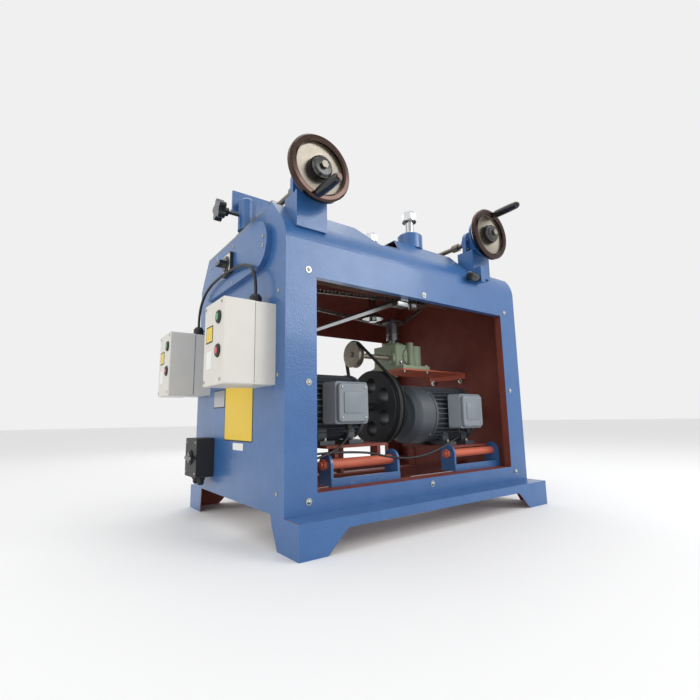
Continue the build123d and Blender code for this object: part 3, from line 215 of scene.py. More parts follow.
class FinishMaker:
    """Builds each finish once and hands the same material out again."""

    def __init__(self) -> None:
        self._made: dict[str, bpy.types.Material] = {}

    def plain(self, finish: Finish) -> bpy.types.Material:
        """Returns the material of one finish."""
        if finish.name not in self._made:
            material, tree = self._blank(finish.name)
            colour, rough, height = self._channels(tree, finish)
            self._close(tree, finish, colour, rough, height)
            self._made[finish.name] = material
        return self._made[finish.name]

    def two_sided(self, name: str, outer: Finish, inner: Finish, centre: Vector) -> bpy.types.Material:
        """Returns enamel on the faces that look away from the centre and primer on the rest.

        Args:
            name: the material's name.
            outer: finish of the outer faces.
            inner: finish of the inner faces.
            centre: the point that inner faces look towards, in the frame.
        """
        material, tree = self._blank(name)
        coords = add_node(tree, "ShaderNodeTexCoord")
        away = add_node(tree, "ShaderNodeVectorMath", {"operation": "SUBTRACT"}, i0=coords.outputs["Object"])
        away.inputs[1].default_value = centre
        facing = add_node(tree, "ShaderNodeVectorMath", {"operation": "DOT_PRODUCT"},
                          i0=away.outputs["Vector"], i1=coords.outputs["Normal"])
        mask = add_node(tree, "ShaderNodeMath", {"operation": "GREATER_THAN"}, i0=facing.outputs["Value"], i1=0.0)
        self._mixed(tree, outer, inner, mask.outputs["Value"])
        return material

    def by_radius(self, name: str, outer: Finish, inner: Finish, centre: Vector, axis: str,
                  radius: float) -> bpy.types.Material:
        """Returns one finish beyond a radius about an axis through the centre and another within it."""
        material, tree = self._blank(name)
        coords = add_node(tree, "ShaderNodeTexCoord")
        away = add_node(tree, "ShaderNodeVectorMath", {"operation": "SUBTRACT"}, i0=coords.outputs["Object"])
        away.inputs[1].default_value = centre
        flat = add_node(tree, "ShaderNodeVectorMath", {"operation": "MULTIPLY"}, i0=away.outputs["Vector"])
        flat.inputs[1].default_value = [0.0 if letter == axis else 1.0 for letter in "XYZ"]
        size = add_node(tree, "ShaderNodeVectorMath", {"operation": "LENGTH"}, i0=flat.outputs["Vector"])
        mask = add_node(tree, "ShaderNodeMath", {"operation": "GREATER_THAN"}, i0=size.outputs["Value"], i1=radius * MM)
        self._mixed(tree, outer, inner, mask.outputs["Value"])
        return material

    @staticmethod
    def _blank(name: str) -> tuple[bpy.types.Material, bpy.types.NodeTree]:
        material = bpy.data.materials.new(name)
        material.use_nodes = True
        material.node_tree.nodes.clear()
        return material, material.node_tree

    def _channels(self, tree: bpy.types.NodeTree, finish: Finish) -> tuple:
        """Returns the colour, roughness and height sockets of one finish."""
        coords = add_node(tree, "ShaderNodeTexCoord").outputs["Object"]
        mottle = add_node(tree, "ShaderNodeTexNoise", None, Vector=coords, Scale=1000 / finish.mottle_mm, Detail=5.0,
                          Roughness=0.6)
        share = add_node(tree, "ShaderNodeMapRange", None, Value=mottle.outputs["Fac"])
        share.inputs["From Min"].default_value = 0.35
        share.inputs["From Max"].default_value = 0.65
        share.inputs["To Max"].default_value = finish.mottling
        mix = add_node(tree, "ShaderNodeMix", {"data_type": "RGBA"})
        tree.links.new(share.outputs["Result"], mix.inputs[0])
        mix.inputs[6].default_value = linear(finish.colour)
        mix.inputs[7].default_value = linear(finish.second or finish.colour)
        rough = add_node(tree, "ShaderNodeMapRange", None, Value=mottle.outputs["Fac"])
        rough.inputs["To Min"].default_value = max(0.03, finish.roughness * 0.82)
        rough.inputs["To Max"].default_value = min(1.0, finish.roughness * 1.2)
        return mix.outputs[2], rough.outputs["Result"], self._height(tree, finish, coords)

    @staticmethod
    def _height(tree: bpy.types.NodeTree, finish: Finish, coords: bpy.types.NodeSocket):
        """Returns the height socket of a relief, or None."""
        scale = 1000 / finish.relief_mm
        if finish.relief is Relief.NONE:
            return None
        if finish.relief is Relief.HAMMERED:
            cells = add_node(tree, "ShaderNodeTexVoronoi", {"feature": "SMOOTH_F1"}, Vector=coords, Scale=scale)
            cells.inputs["Smoothness"].default_value = 0.6
            return cells.outputs["Distance"]
        if finish.relief is Relief.BRUSHED:
            stretch = {"X": (0.03, 1, 1), "Y": (1, 0.03, 1), "Z": (1, 1, 0.03)}[finish.brush_axis]
            drawn = add_node(tree, "ShaderNodeMapping", None, Vector=coords)
            drawn.inputs["Scale"].default_value = stretch
            lines = add_node(tree, "ShaderNodeTexNoise", None, Vector=drawn.outputs["Vector"], Scale=scale, Detail=3.0)
            return lines.outputs["Fac"]
        if finish.relief is Relief.GRIT:
            grains = add_node(tree, "ShaderNodeTexVoronoi", {"feature": "F1"}, Vector=coords, Scale=scale)
            return grains.outputs["Distance"]
        noise = add_node(tree, "ShaderNodeTexNoise", None, Vector=coords, Scale=scale,
                         Detail=5.0 if finish.relief is Relief.CAST else 1.5)
        return noise.outputs["Fac"]

    @staticmethod
    def _bump(tree: bpy.types.NodeTree, finish: Finish, height) -> Optional[bpy.types.NodeSocket]:
        if height is None:
            return None
        bump = add_node(tree, "ShaderNodeBump", None, Strength=finish.depth, Distance=0.0012, Height=height)
        return bump.outputs["Normal"]

    def _shader(self, tree: bpy.types.NodeTree, finish: Finish, colour, rough, height) -> bpy.types.Node:
        shader = add_node(tree, "ShaderNodeBsdfPrincipled", None, Base_Color=colour, Roughness=rough,
                          Metallic=finish.metallic)
        shader.inputs["Coat Weight"].default_value = finish.coat
        shader.inputs["Coat Roughness"].default_value = 0.12
        normal = self._bump(tree, finish, height)
        if normal is not None:
            tree.links.new(normal, shader.inputs["Normal"])
        return shader

    def _close(self, tree: bpy.types.NodeTree, finish: Finish, colour, rough, height) -> None:
        shader = self._shader(tree, finish, colour, rough, height)
        out = add_node(tree, "ShaderNodeOutputMaterial")
        tree.links.new(shader.outputs["BSDF"], out.inputs["Surface"])

    def _mixed(self, tree: bpy.types.NodeTree, outer: Finish, inner: Finish, mask: bpy.types.NodeSocket) -> None:
        """Closes a tree with the inner finish where the mask is 0 and the outer one where it is 1."""
        first = self._shader(tree, inner, *self._channels(tree, inner))
        second = self._shader(tree, outer, *self._channels(tree, outer))
        mix = add_node(tree, "ShaderNodeMixShader", None, Fac=mask)
        tree.links.new(first.outputs["BSDF"], mix.inputs[1])
        tree.links.new(second.outputs["BSDF"], mix.inputs[2])
        out = add_node(tree, "ShaderNodeOutputMaterial")
        tree.links.new(mix.outputs["Shader"], out.inputs["Surface"])


FINISHES = FinishMaker()


# ------------------------------------------------------------------ meshes
class Form:
    """A mesh that grows from simple shapes, in millimetres, and is placed on the frame at the end."""

    def __init__(self, name: str) -> None:
        self.name = name.replace(" ", "_")
        self.mesh = bmesh.new()

    def _place(self, verts: Sequence[bmesh.types.BMVert], place: Vector, facing: Facing, spin: float) -> None:
        """Moves fresh geometry from its own millimetres to the frame's metres."""
        matrix = (Matrix.Translation(place) @ facing.matrix() @ Matrix.Rotation(spin, 4, "Z")
                  @ Matrix.Scale(MM, 4))
        bmesh.ops.transform(self.mesh, matrix=matrix, verts=list(verts))

    def turned(self, profile: Sequence[tuple[float, float]], place: Vector, facing: Facing = Facing.UP,
               steps: int = 32, spin: float = 0.0) -> "Form":
        """Adds a solid of revolution from (radius, height) points; ends on the axis are closed.

        Args:
            profile: the outline, from the bottom outwards to the top.
            place: where its own origin lies.
            facing: where its own +Z points.
            steps: how many sides the circle has.
            spin: turn about its own axis, in radians.
        Returns:
            The same form.
        """
        rings, fresh = [], []
        for radius, height in profile:
            if radius < 1e-6:
                vert = self.mesh.verts.new((0, 0, height))
                rings.append([vert])
                fresh.append(vert)
                continue
            ring = [self.mesh.verts.new((radius * cos(tau * i / steps), radius * sin(tau * i / steps), height))
                    for i in range(steps)]
            rings.append(ring)
            fresh += ring
        closed = len(rings[0]) > 1 and len(rings[-1]) > 1
        pairs = list(zip(rings, rings[1:])) + ([(rings[-1], rings[0])] if closed else [])
        for low, high in pairs:
            for i in range(steps):
                j = (i + 1) % steps
                corners = [low[i % len(low)], low[j % len(low)], high[j % len(high)], high[i % len(high)]]
                unique = list(dict.fromkeys(corners))
                if len(unique) > 2:
                    self.mesh.faces.new(unique)
        self._place(fresh, place, facing, spin)
        return self

    def prism(self, outline: Sequence[tuple[float, float]], height: float, place: Vector,
              facing: Facing = Facing.UP, spin: float = 0.0, bevel: float = 0.0) -> "Form":
        """Adds an outline of (x, y) points, anticlockwise, raised to a height, with an optional rounded top."""
        low = [self.mesh.verts.new((x, y, 0)) for x, y in outline]
        inset = min(bevel, height * 0.6)
        levels = [low]
        rounded = ((0.0, height - inset), (0.3, height - inset * 0.3), (1.0, height))
        for shrink, level in rounded if bevel else ((0.0, height),):
            levels.append([self.mesh.verts.new((*self._shrunk(outline, i, inset * shrink), level))
                           for i in range(len(outline))])
        count = len(outline)
        for under, over in zip(levels, levels[1:]):
            for i in range(count):
                j = (i + 1) % count
                self.mesh.faces.new((under[i], under[j], over[j], over[i]))
        self.mesh.faces.new(levels[-1])
        self.mesh.faces.new(list(reversed(low)))
        self._place([vert for level in levels for vert in level], place, facing, spin)
        return self

    @staticmethod
    def _shrunk(outline: Sequence[tuple[float, float]], index: int, amount: float) -> tuple[float, float]:
        """Returns one corner of an outline moved inward."""
        before, here, after = (Vector(outline[(index + k) % len(outline)]) for k in (-1, 0, 1))
        first, second = (here - before).normalized(), (after - here).normalized()
        normal = Vector((-first.y - second.y, first.x + second.x))
        if normal.length < 1e-6:
            return tuple(here)
        normal.normalize()
        spread = max(0.35, abs(normal.dot(Vector((-first.y, first.x)))))
        return tuple(here + normal * amount / spread)

    def slab(self, size: Point, place: Vector, facing: Facing = Facing.UP, corner: float = 0.0, bevel: float = 0.0,
             spin: float = 0.0) -> "Form":
        """Adds a plate standing on its own origin, with rounded corners and a rounded top edge."""
        wide, deep, high = size
        return self.prism(rounded_outline(wide, deep, corner), high, place, facing, spin, bevel)

    def done(self, finish: Finish | bpy.types.Material, body: str = "cabinet", smooth_deg: float = 35.0,
             replaces: str = "", slot: str = "cover_screws") -> bpy.types.Object:
        """Turns the form into an object that rides a body.

        Args:
            finish: its finish, or a ready material.
            body: the body it moves with.
            smooth_deg: faces that meet at less than this are shaded as one.
            replaces: a node that it stands for.
            slot: not used.
        Returns:
            The finished object.
        """
        bmesh.ops.recalc_face_normals(self.mesh, faces=self.mesh.faces)
        for face in self.mesh.faces:
            face.smooth = True
        for edge in self.mesh.edges:
            if len(edge.link_faces) != 2 or edge.calc_face_angle(0) > radians(smooth_deg):
                edge.smooth = False
        data = bpy.data.meshes.new(self.name)
        self.mesh.to_mesh(data)
        self.mesh.free()
        thing = bpy.data.objects.new(self.name, data)
        bpy.context.scene.collection.objects.link(thing)
        material = FINISHES.plain(finish) if isinstance(finish, Finish) else finish
        data.materials.append(material)
        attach(thing, body)
        if replaces:
            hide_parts(replaces)
        return thing


def rounded_outline(wide: float, deep: float, corner: float, steps: int = 5) -> list[tuple[float, float]]:
    """Returns a rectangle about the origin with rounded corners, anticlockwise."""
    if corner <= 0:
        return [(-wide / 2, -deep / 2), (wide / 2, -deep / 2), (wide / 2, deep / 2), (-wide / 2, deep / 2)]
    points = []
    for sx, sy, start in ((1, -1, -90), (1, 1, 0), (-1, 1, 90), (-1, -1, 180)):
        for k in range(steps + 1):
            angle = radians(start + 90 * k / steps)
            points.append((sx * (wide / 2 - corner) + corner * cos(angle), sy * (deep / 2 - corner) + corner * sin(angle)))
    return points


def hexagon(flats: float) -> list[tuple[float, float]]:
    """Returns a hexagon of a given size across its flats."""
    radius = flats / sqrt(3)
    return [(radius * cos(tau * k / 6), radius * sin(tau * k / 6)) for k in range(6)]


class Fastener:
    """Small screws and bolts that are added to a form."""

    @staticmethod
    def hex_head(form: Form, place: Vector, facing: Facing, flats: float = 13, high: float = 6.5, washer: float = 0.0,
                 spin: float = 0.2) -> None:
        """Adds a hexagon head on a washer."""
        out = facing.matrix().to_3x3() @ Vector((0, 0, 1)) * MM
        ring = washer or flats * 0.85
        form.turned([(0, 0), (ring, 0), (ring, 1.3), (ring - 0.4, 1.7), (0, 1.7)], place, facing, 24)
        form.prism(hexagon(flats), high, place + out * 1.6, facing, spin, bevel=0.9)

    @staticmethod
    def cap_head(form: Form, place: Vector, facing: Facing, radius: float = 6, high: float = 6) -> None:
        """Adds a cylinder head with a hexagon-like recess."""
        recess = radius * 0.48
        form.turned([(0, 0), (radius, 0), (radius, high - 0.7), (radius - 0.7, high), (recess, high),
                     (recess, high * 0.45), (0, high * 0.45)], place, facing, 20)

    @staticmethod
    def pan_head(form: Form, place: Vector, facing: Facing, radius: float = 4.5, high: float = 2.6) -> None:
        """Adds a domed head with a shallow slot ring."""
        form.turned([(0, 0), (radius, 0), (radius, high * 0.35), (radius * 0.82, high * 0.8), (radius * 0.45, high),
                     (radius * 0.4, high * 0.6), (0, high * 0.6)], place, facing, 18)


def label(name: str, size: tuple[float, float], place: Vector, facing: Facing, finish: Finish, border: Optional[Finish],
          rivets: bool = False, rise: float = 0.5) -> None:
    """Makes a blank plate, with an optional border under it and rivets in its corners."""
    wide, deep = size
    out = facing.matrix().to_3x3() @ Vector((0, 0, 1)) * MM
    if border:
        edge = Form(name + " border").slab((wide, deep, rise), place, facing, 2.5)
        edge.done(border, slot="switch_cases")
        Form(name).slab((wide - 7, deep - 7, 0.3), place + out * rise, facing, 1.5).done(finish, slot="switch_cases")
    else:
        Form(name).slab((wide, deep, rise), place, facing, 2.0).done(finish, slot="switch_cases")
    if rivets:
        dots = Form(name + " rivets")
        side = facing.matrix().to_3x3()
        for sx in (-1, 1):
            for sy in (-1, 1):
                corner = side @ Vector((sx * (wide / 2 - 5), sy * (deep / 2 - 5), rise)) * MM
                dots.turned([(0, 0), (2.1, 0), (1.6, 0.9), (0, 1.2)], place + corner, facing, 12)
        dots.done(ZINC)


# ------------------------------------------------------------------ finishes of the frame's own pieces
@dataclass(frozen=True)
class Paintwork:
    """Which finish each carried-over piece wears."""

    plain: dict[str, Finish] = field(default_factory=lambda: {
        "motor_rail": PRIMER, "gearbox_shelf": ORANGE, "table_plate": TABLE_STEEL, "drum_core": TURNED,
        "abrasive_sleeve": GRIT_BROWN, "drum_bearings": IRON, "drum_shaft": TURNED, "drum_belt": RUBBER,
        "feed_spindle_near": CHROME, "feed_spindle_far": CHROME, "spindle_housings": BLUE,
        "idler_sprocket": DARK_STEEL, "feed_chain": DARK_STEEL, "chain_bars": STEEL, "gearbox_housing": GREEN,
        "output_shaft": STEEL, "worm_shaft": PALE_IRON, "feed_motor_pulley": IRON, "feed_belt": RUBBER,
        "motor_frames": MOTOR_GREY, "motor_shields": MOTOR_GREY, "motor_cowls": MOTOR_GREY,
        "feed_motor_rotor": TURNED, "drum_motor_rotor": TURNED, "terminal_boxes": TERMINAL_GREY,
        "mount_brackets": BLUE, "mount_tubes": ORANGE, "motor_cradles": PRIMER, "wheel_grip_left": BLACK,
        "wheel_grip_right": BLACK, "screw_brackets": BLUE, "fence_slide": TABLE_STEEL, "guide_slide": TABLE_STEEL,
        "fence_post": BLUE, "fence_plate": BLUE, "star_knob": BLACK, "lock_knob": BLACK,
        "control_boxes": BEIGE, "start_button_near": GREEN_CAP, "start_button_far": GREEN_CAP,
        "stop_button_near": RED_CAP, "stop_button_far": RED_CAP, "cable_glands": MATT_BLACK,
        "switch_cases": MATT_BLACK, "selector_knob": BLACK, "isolator_lever": BLACK, "control_cable": SHEATH,
        "motor_cables": SHEATH, "cover_screws": ZINC,
    })
    sheets: tuple[str, ...] = ("end_panels", "front_frame", "back_frame")
    head: tuple[str, ...] = ("head_casing", "head_ends", "table_lips")
    shells: tuple[str, ...] = ("drum_end_cover", "belt_guard")

    def apply(self) -> None:
        """Gives every carried-over piece its finish."""
        cabinet = FINISHES.two_sided("enamel outside and primer inside", BLUE, PRIMER, DATUM.at(0, 345, 400))
        head = FINISHES.two_sided("enamel outside and primer inside the head", BLUE, PRIMER, DATUM.at(0, 345, 760))
        wheel = {}
        for side in ("left", "right"):
            low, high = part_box(f"handwheel_{side}")
            centre = (low + high) / 2
            wheel[f"handwheel_{side}"] = FINISHES.by_radius(f"handwheel {side}", BRONZE_CHROME, DISH, centre, "Y", 73)
        skirts = FINISHES.two_sided("enamel outside and primer inside the skirts", BLUE, PRIMER, DATUM.at(0, 345, 20))
        special = {**dict.fromkeys(self.sheets, cabinet), "skirts": skirts, **dict.fromkeys(self.head, head),
                   **dict.fromkeys(self.shells, FINISHES.plain(BLUE)), **wheel}
        for name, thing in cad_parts.items():
            material = special.get(name) or FINISHES.plain(self.plain[name])
            thing.data.materials.clear()
            thing.data.materials.append(material)


# ------------------------------------------------------------------ sub-assemblies
@dataclass
class FeedChain:
    """The roller chain around the four sprockets, link by link."""

    pitch: float = 12.7
    level: float = 699.0
    roller: float = 4.2
    width: float = 11.0

    def route(self) -> list[Vector]:
        """Returns points (x, y) in millimetres, evenly spaced by the pitch along the chain."""
        near, far, gear, idler = (68, 122, 44), (68, 345, 44), (191, 367, 44), (-395, 233.5, 65)
        loop = self._hull([near, gear, far, idler])
        total = sum((b - a).length for a, b in zip(loop, loop[1:] + loop[:1]))
        count = round(total / self.pitch / 2) * 2
        step, spots, left = total / count, [], 0.0
        for a, b in zip(loop, loop[1:] + loop[:1]):
            run = (b - a).length
            while left < run - 1e-6:
                spots.append(a + (b - a) * (left / run))
                left += step
            left -= run
        return spots[:count]

    @staticmethod
    def _hull(circles: Sequence[tuple[float, float, float]]) -> list[Vector]:
        """Returns the outline around circles, as many short runs."""
        points = [Vector((x + r * cos(tau * k / 90), y + r * sin(tau * k / 90))) for x, y, r in circles for k in range(90)]
        points.sort(key=lambda p: (p.x, p.y))
        outline: list[Vector] = []
        for way in (points, points[::-1]):
            chain: list[Vector] = []
            for p in way:
                while len(chain) > 1 and (chain[-1] - chain[-2]).cross(p - chain[-2]) <= 0:
                    chain.pop()
                chain.append(p)
            outline += chain[:-1]
        return outline

    def build(self) -> None:
        """Makes rollers and side plates."""
        links, rollers = Form("chain plates"), Form("chain rollers")
        spots = self.route()
        for i, here in enumerate(spots):
            there = spots[(i + 1) % len(spots)]
            middle = (here + there) / 2
            angle = atan2(there.y - here.y, there.x - here.x)
            outer = i % 2
            for side in (-1, 1):
                offset = side * (self.width / 2 - (0.2 if outer else 1.7)) - 0.7
                base = DATUM.at(middle.x, middle.y, self.level + offset)
                links.slab((self.pitch + 8.4, 8.0, 1.4), base, Facing.UP, 3.9, 0, angle)
            place = DATUM.at(here.x, here.y, self.level - 3.6)
            rollers.turned([(0, 0), (self.roller, 0), (self.roller, 7.2), (0, 7.2)], place, Facing.UP, 10)
            place = DATUM.at(here.x, here.y, self.level - self.width / 2 - 1.2)
            rollers.turned([(0, 0), (2, 0), (2, self.width + 2.4), (0, self.width + 2.4)], place, Facing.UP, 8)
        links.done(DARK_STEEL, replaces="feed_chain", slot="feed_chain")
        rollers.done(TURNED, slot="feed_chain")


@dataclass
class MotorTrim:
    """Fittings of one motor: shield bolts, cover screws, terminal cover rim and gland."""

    name: str
    face: float
    level: float
    axis_y: float = 205.0
    radius: float = 103.0
    length: float = 335.0

    def build(self) -> None:
        """Makes every fitting of the motor."""
        bolts = Form(f"{self.name} motor bolts")
        for k in range(4):
            angle = radians(45 + 90 * k)
            y, z = self.axis_y + 84 * cos(angle), self.level + 84 * sin(angle)
            Fastener.hex_head(bolts, DATUM.at(self.face - 10, y, z), Facing.RIGHT, 8, 4.5)
        for k in range(4):
            angle = radians(45 + 90 * k)
            y, z = self.axis_y + self.radius * cos(angle), self.level + self.radius * sin(angle)
            x = self.face - self.length + 93
            bolts.turned([(0, 0), (4, 0), (4, 1.2), (3, 2.4), (0, 2.6)],
                         DATUM.at(x, y, z), Facing.UP, 12)
        middle = self.face - 102
        front = self.axis_y - self.radius - 52.4
        for sx in (-1, 1):
            for sz in (-1, 1):
                spot = DATUM.at(middle + sx * 41, front, self.level + 8 + sz * 43)
                Fastener.pan_head(bolts, spot, Facing.NEAR, 3.6, 2)
        bolts.done(ZINC, slot="cover_screws")
        rim = Form(f"{self.name} terminal cover rim")
        rim.slab((72, 60, 2.2), DATUM.at(middle, front + 0.2, self.level + 8), Facing.NEAR, 6, 1.2)
        rim.done(TERMINAL_GREY, slot="terminal_boxes")
        grommet = Form(f"{self.name} terminal gland")
        case_low = self.level - 52
        profile = [(5, 1.0), (11, 1.0), (11, -5), (8.5, -6), (8.5, -13), (6.5, -16), (4.0, -16), (4.0, 1.0)]
        grommet.turned(profile, DATUM.at(middle, 80, case_low - 1), Facing.UP, 20)
        grommet.done(MATT_BLACK, slot="cable_glands")


@dataclass
class StarterBox:
    """Trim of one starter box: bezels, corner screws, labels and a dark strip of painted shade in its seam."""

    name: str
    middle_y: float
    bottom: float = 393.0
    high: float = 215.0
    wide: float = 140.0
    face_x: float = -640.0

    def build(self) -> None:
        """Makes the trim of the box."""
        screws = Form(f"{self.name} box screws")
        for sy in (-1, 1):
            for z in (self.bottom + 12, self.bottom + self.high - 12):
                place = DATUM.at(self.face_x, self.middle_y + sy * (self.wide / 2 - 12), z)
                Fastener.pan_head(screws, place, Facing.LEFT, 4.6, 2.2)
        screws.done(ZINC, slot="cover_screws")
        bezels = Form(f"{self.name} button bezels")
        for z in (167, 83):
            place = DATUM.at(self.face_x, self.middle_y - 40, self.bottom + z)
            bezels.turned([(9.6, 0), (17, 0), (17, 2.0), (15, 4.5), (11.2, 5), (9.6, 4.6)], place, Facing.LEFT, 36)
        bezels.done(MATT_BLACK, slot="switch_cases")
        label(f"{self.name} box upper label", (44, 50), DATUM.at(self.face_x, self.middle_y + 26, self.bottom + 132),
              Facing.LEFT, YELLOW, MATT_BLACK)
        label(f"{self.name} box lower label", (44, 36), DATUM.at(self.face_x, self.middle_y + 26, self.bottom + 66),
              Facing.LEFT, WHITE, None)
        # A matt black strip set into the seam between the box halves is painted shade that darkens the seam gap.
        seam_shade = Form(f"{self.name} box gasket")
        seam = self.face_x + 140 * 0.58
        seam_shade.slab((self.high - 3, self.wide - 3, 2.4), DATUM.at(seam + 1.8, self.middle_y, self.bottom + self.high / 2),
                    Facing.LEFT, 6)
        seam_shade.done(MATT_BLACK, slot="switch_cases")


class EndPanelTrim:
    """Blank plates, labels and screws on the left end of the cabinet."""

    def build(self) -> None:
        """Makes the plates, labels and screws."""
        x = -500.0
        label("name plate", (59, 105), DATUM.at(x, 458, 378), Facing.LEFT, SILVER, MATT_BLACK, True)
        label("large label", (168, 216), DATUM.at(x, 295, 331), Facing.LEFT, YELLOW, MATT_BLACK)
        label("small label", (20, 77), DATUM.at(x, 290, 232), Facing.LEFT, WHITE, None)
        screws = Form("end cover screws")
        for y, z in ((107, 812), (107, 784), (545, 850), (545, 748), (330, 857), (330, 739)):
            Fastener.pan_head(screws, DATUM.at(-516, y, z), Facing.LEFT, 5.5, 3)
        for y in (40, 650):
            for z in (640, 420, 130):
                Fastener.pan_head(screws, DATUM.at(-500, y, z), Facing.LEFT, 5.5, 3)
        screws.done(ZINC, slot="cover_screws")


class SwitchTrim:
    """Bezel and plate of the selector switch and the isolator."""

    def build(self) -> None:
        """Makes the bezels, plates and screws."""
        x = -526.0
        plate = Form("selector plate").slab((66, 56, 1.2), DATUM.at(x, 357, 803), Facing.LEFT, 4)
        plate.done(WHITE, slot="switch_cases")
        ring = Form("selector bezel")
        ring.turned([(22.6, 1.2), (28, 1.2), (28, 4), (25, 6), (22.6, 6)], DATUM.at(x, 357, 803), Facing.LEFT, 40)
        ring.done(BLACK, slot="selector_knob")
        ticks = Form("selector marks")
        for angle in (-45, 0, 45):
            spot = DATUM.at(x - 9.3, 357, 803 + 14)
            if angle == 0:
                ticks.slab((14, 2.2, 0.5), spot + Vector((-0.0212, 0, 0)), Facing.LEFT, 0.8)
        ticks.done(WHITE, body="selector_knob", slot="selector_knob")
        hole = Form("isolator ring").turned([(17.6, 2), (24, 2), (24, 4), (20, 5), (17.6, 5)], DATUM.at(-558, 550, 190),
                                            Facing.LEFT, 36)
        hole.done(MATT_BLACK, slot="switch_cases")
        screws = Form("isolator screws")
        for sy in (-1, 1):
            for sz in (-1, 1):
                Fastener.pan_head(screws, DATUM.at(-558, 550 + sy * 47, 190 + sz * 49), Facing.LEFT, 4, 2)
                Fastener.pan_head(screws, DATUM.at(-527.2, 357 + sy * 24, 803 + sz * 28), Facing.LEFT, 2.6, 1.6)
        screws.done(ZINC, slot="cover_screws")


class GearboxTrim:
    """Bolts, plugs and side cover of the worm gearbox and the bolts of its shelf."""

    def build(self) -> None:
        """Makes the fittings of the gearbox."""
        bolts = Form("gearbox bolts")
        for x, y in ((126 + 22, 262), (272, 262), (152, 440), (272, 440)):
            Fastener.hex_head(bolts, DATUM.at(x, y, 509), Facing.UP, 10, 6)
            Fastener.hex_head(bolts, DATUM.at(x, y, 489), Facing.DOWN, 10, 6)
        for k in range(6):
            angle = tau * k / 6 + 0.4
            Fastener.cap_head(bolts, DATUM.at(191 + 33 * cos(angle), 367 + 33 * sin(angle), 608), Facing.UP, 4.2, 4)
        for k in range(4):
            angle = tau * k / 4 + 0.78
            Fastener.cap_head(bolts, DATUM.at(130, 327 + 20.5 * cos(angle), 542 + 20.5 * sin(angle)), Facing.LEFT, 3, 3)
        bolts.done(ZINC, slot="cover_screws")
        cap = Form("gearbox side cover")
        cap.turned([(0, 0), (34, 0), (34, 5), (31, 7), (0, 7)], DATUM.at(210, 297, 550), Facing.NEAR, 40)
        cap.done(GREEN, slot="gearbox_housing")
        rim = Form("gearbox cover screws")
        for k in range(6):
            angle = tau * k / 6
            Fastener.cap_head(rim, DATUM.at(210 + 27 * cos(angle), 290, 550 + 27 * sin(angle)), Facing.NEAR, 3, 3)
        Fastener.hex_head(rim, DATUM.at(166, 297, 524), Facing.NEAR, 12, 6)
        rim.done(ZINC, slot="cover_screws")


class HeadTrim:
    """Screws of the table, bolts of the brackets and spindle housings, and the spindle seals."""

    def build(self) -> None:
        """Makes the fasteners on the head."""
        table = Form("table screws")
        for x in (-470, -235, 0, 235, 470):
            for y in (600, 420):
                head = [(0, 0.05), (7, 0.05), (6.4, 0.25), (3.2, 0.3), (2.6, 0.0), (0, 0.0)]
                table.turned(head, DATUM.at(x, y, 905), Facing.UP, 24)
        table.done(ZINC, slot="cover_screws")
        bolts = Form("spindle housing bolts")
        for y in (122, 345):
            for k in range(4):
                angle = tau * k / 4 + pi / 4
                Fastener.cap_head(bolts, DATUM.at(68 + 31 * cos(angle), y + 31 * sin(angle), 962), Facing.UP, 4.6, 5)
        for x in (-424, 311):
            for sx in (-1, 1):
                for sz in (-1, 1):
                    Fastener.cap_head(bolts, DATUM.at(x + sx * 28, 34, 950 + sz * 18), Facing.NEAR, 4.5, 5)
        bolts.done(ZINC, slot="cover_screws")
        seals = Form("spindle seals")
        for y in (122, 345):
            lip = [(15.4, 0), (25, 0), (25, 3), (22, 6), (17, 7), (15.4, 7)]
            seals.turned(lip, DATUM.at(68, y, 962), Facing.UP, 40)
        seals.done(CHROME, slot="spindle_housings")


class WheelTrim:
    """Graduated collar and hub cap of each handwheel."""

    def build(self) -> None:
        """Makes the collars and hub caps."""
        for side, x in (("left", -424.0), ("right", 311.0)):
            hub = Form(f"{side} wheel hub cap")
            cap = [(11.5, -5), (34, -5), (34, 5), (30, 16), (25, 21), (11.5, 21.5)]
            hub.turned(cap, DATUM.at(x, -44, 968), Facing.NEAR, 48)
            hub.done(BLACK, body=f"handwheel_{side}", slot="star_knob")
            ring = Form(f"{side} index ring")
            ring.turned([(27, 0), (32, 0), (32, 9), (27, 9)], DATUM.at(x, -13, 968), Facing.NEAR, 60)
            ring.done(SILVER, body=f"handwheel_{side}", slot=f"handwheel_{side}")
            marks = Form(f"{side} index marks")
            for k in range(40):
                angle = tau * k / 40
                long = 6 if k % 5 == 0 else 3.5
                place = DATUM.at(x + 32 * cos(angle), -17.5, 968 + 32 * sin(angle))
                turn = Matrix.Rotation(-angle, 4, "Y")
                verts = [marks.mesh.verts.new((px, py, pz)) for px in (-0.1, 0.25) for py in (-long / 2, long / 2)
                         for pz in (-0.35, 0.35)]
                for quad in ((0, 1, 3, 2), (4, 6, 7, 5), (0, 4, 5, 1), (2, 3, 7, 6), (0, 2, 6, 4), (1, 5, 7, 3)):
                    marks.mesh.faces.new([verts[q] for q in quad])
                move = Matrix.Translation(place) @ turn @ Matrix.Scale(MM, 4)
                bmesh.ops.transform(marks.mesh, matrix=move, verts=verts)
            marks.done(MATT_BLACK, body=f"handwheel_{side}", slot="star_knob")


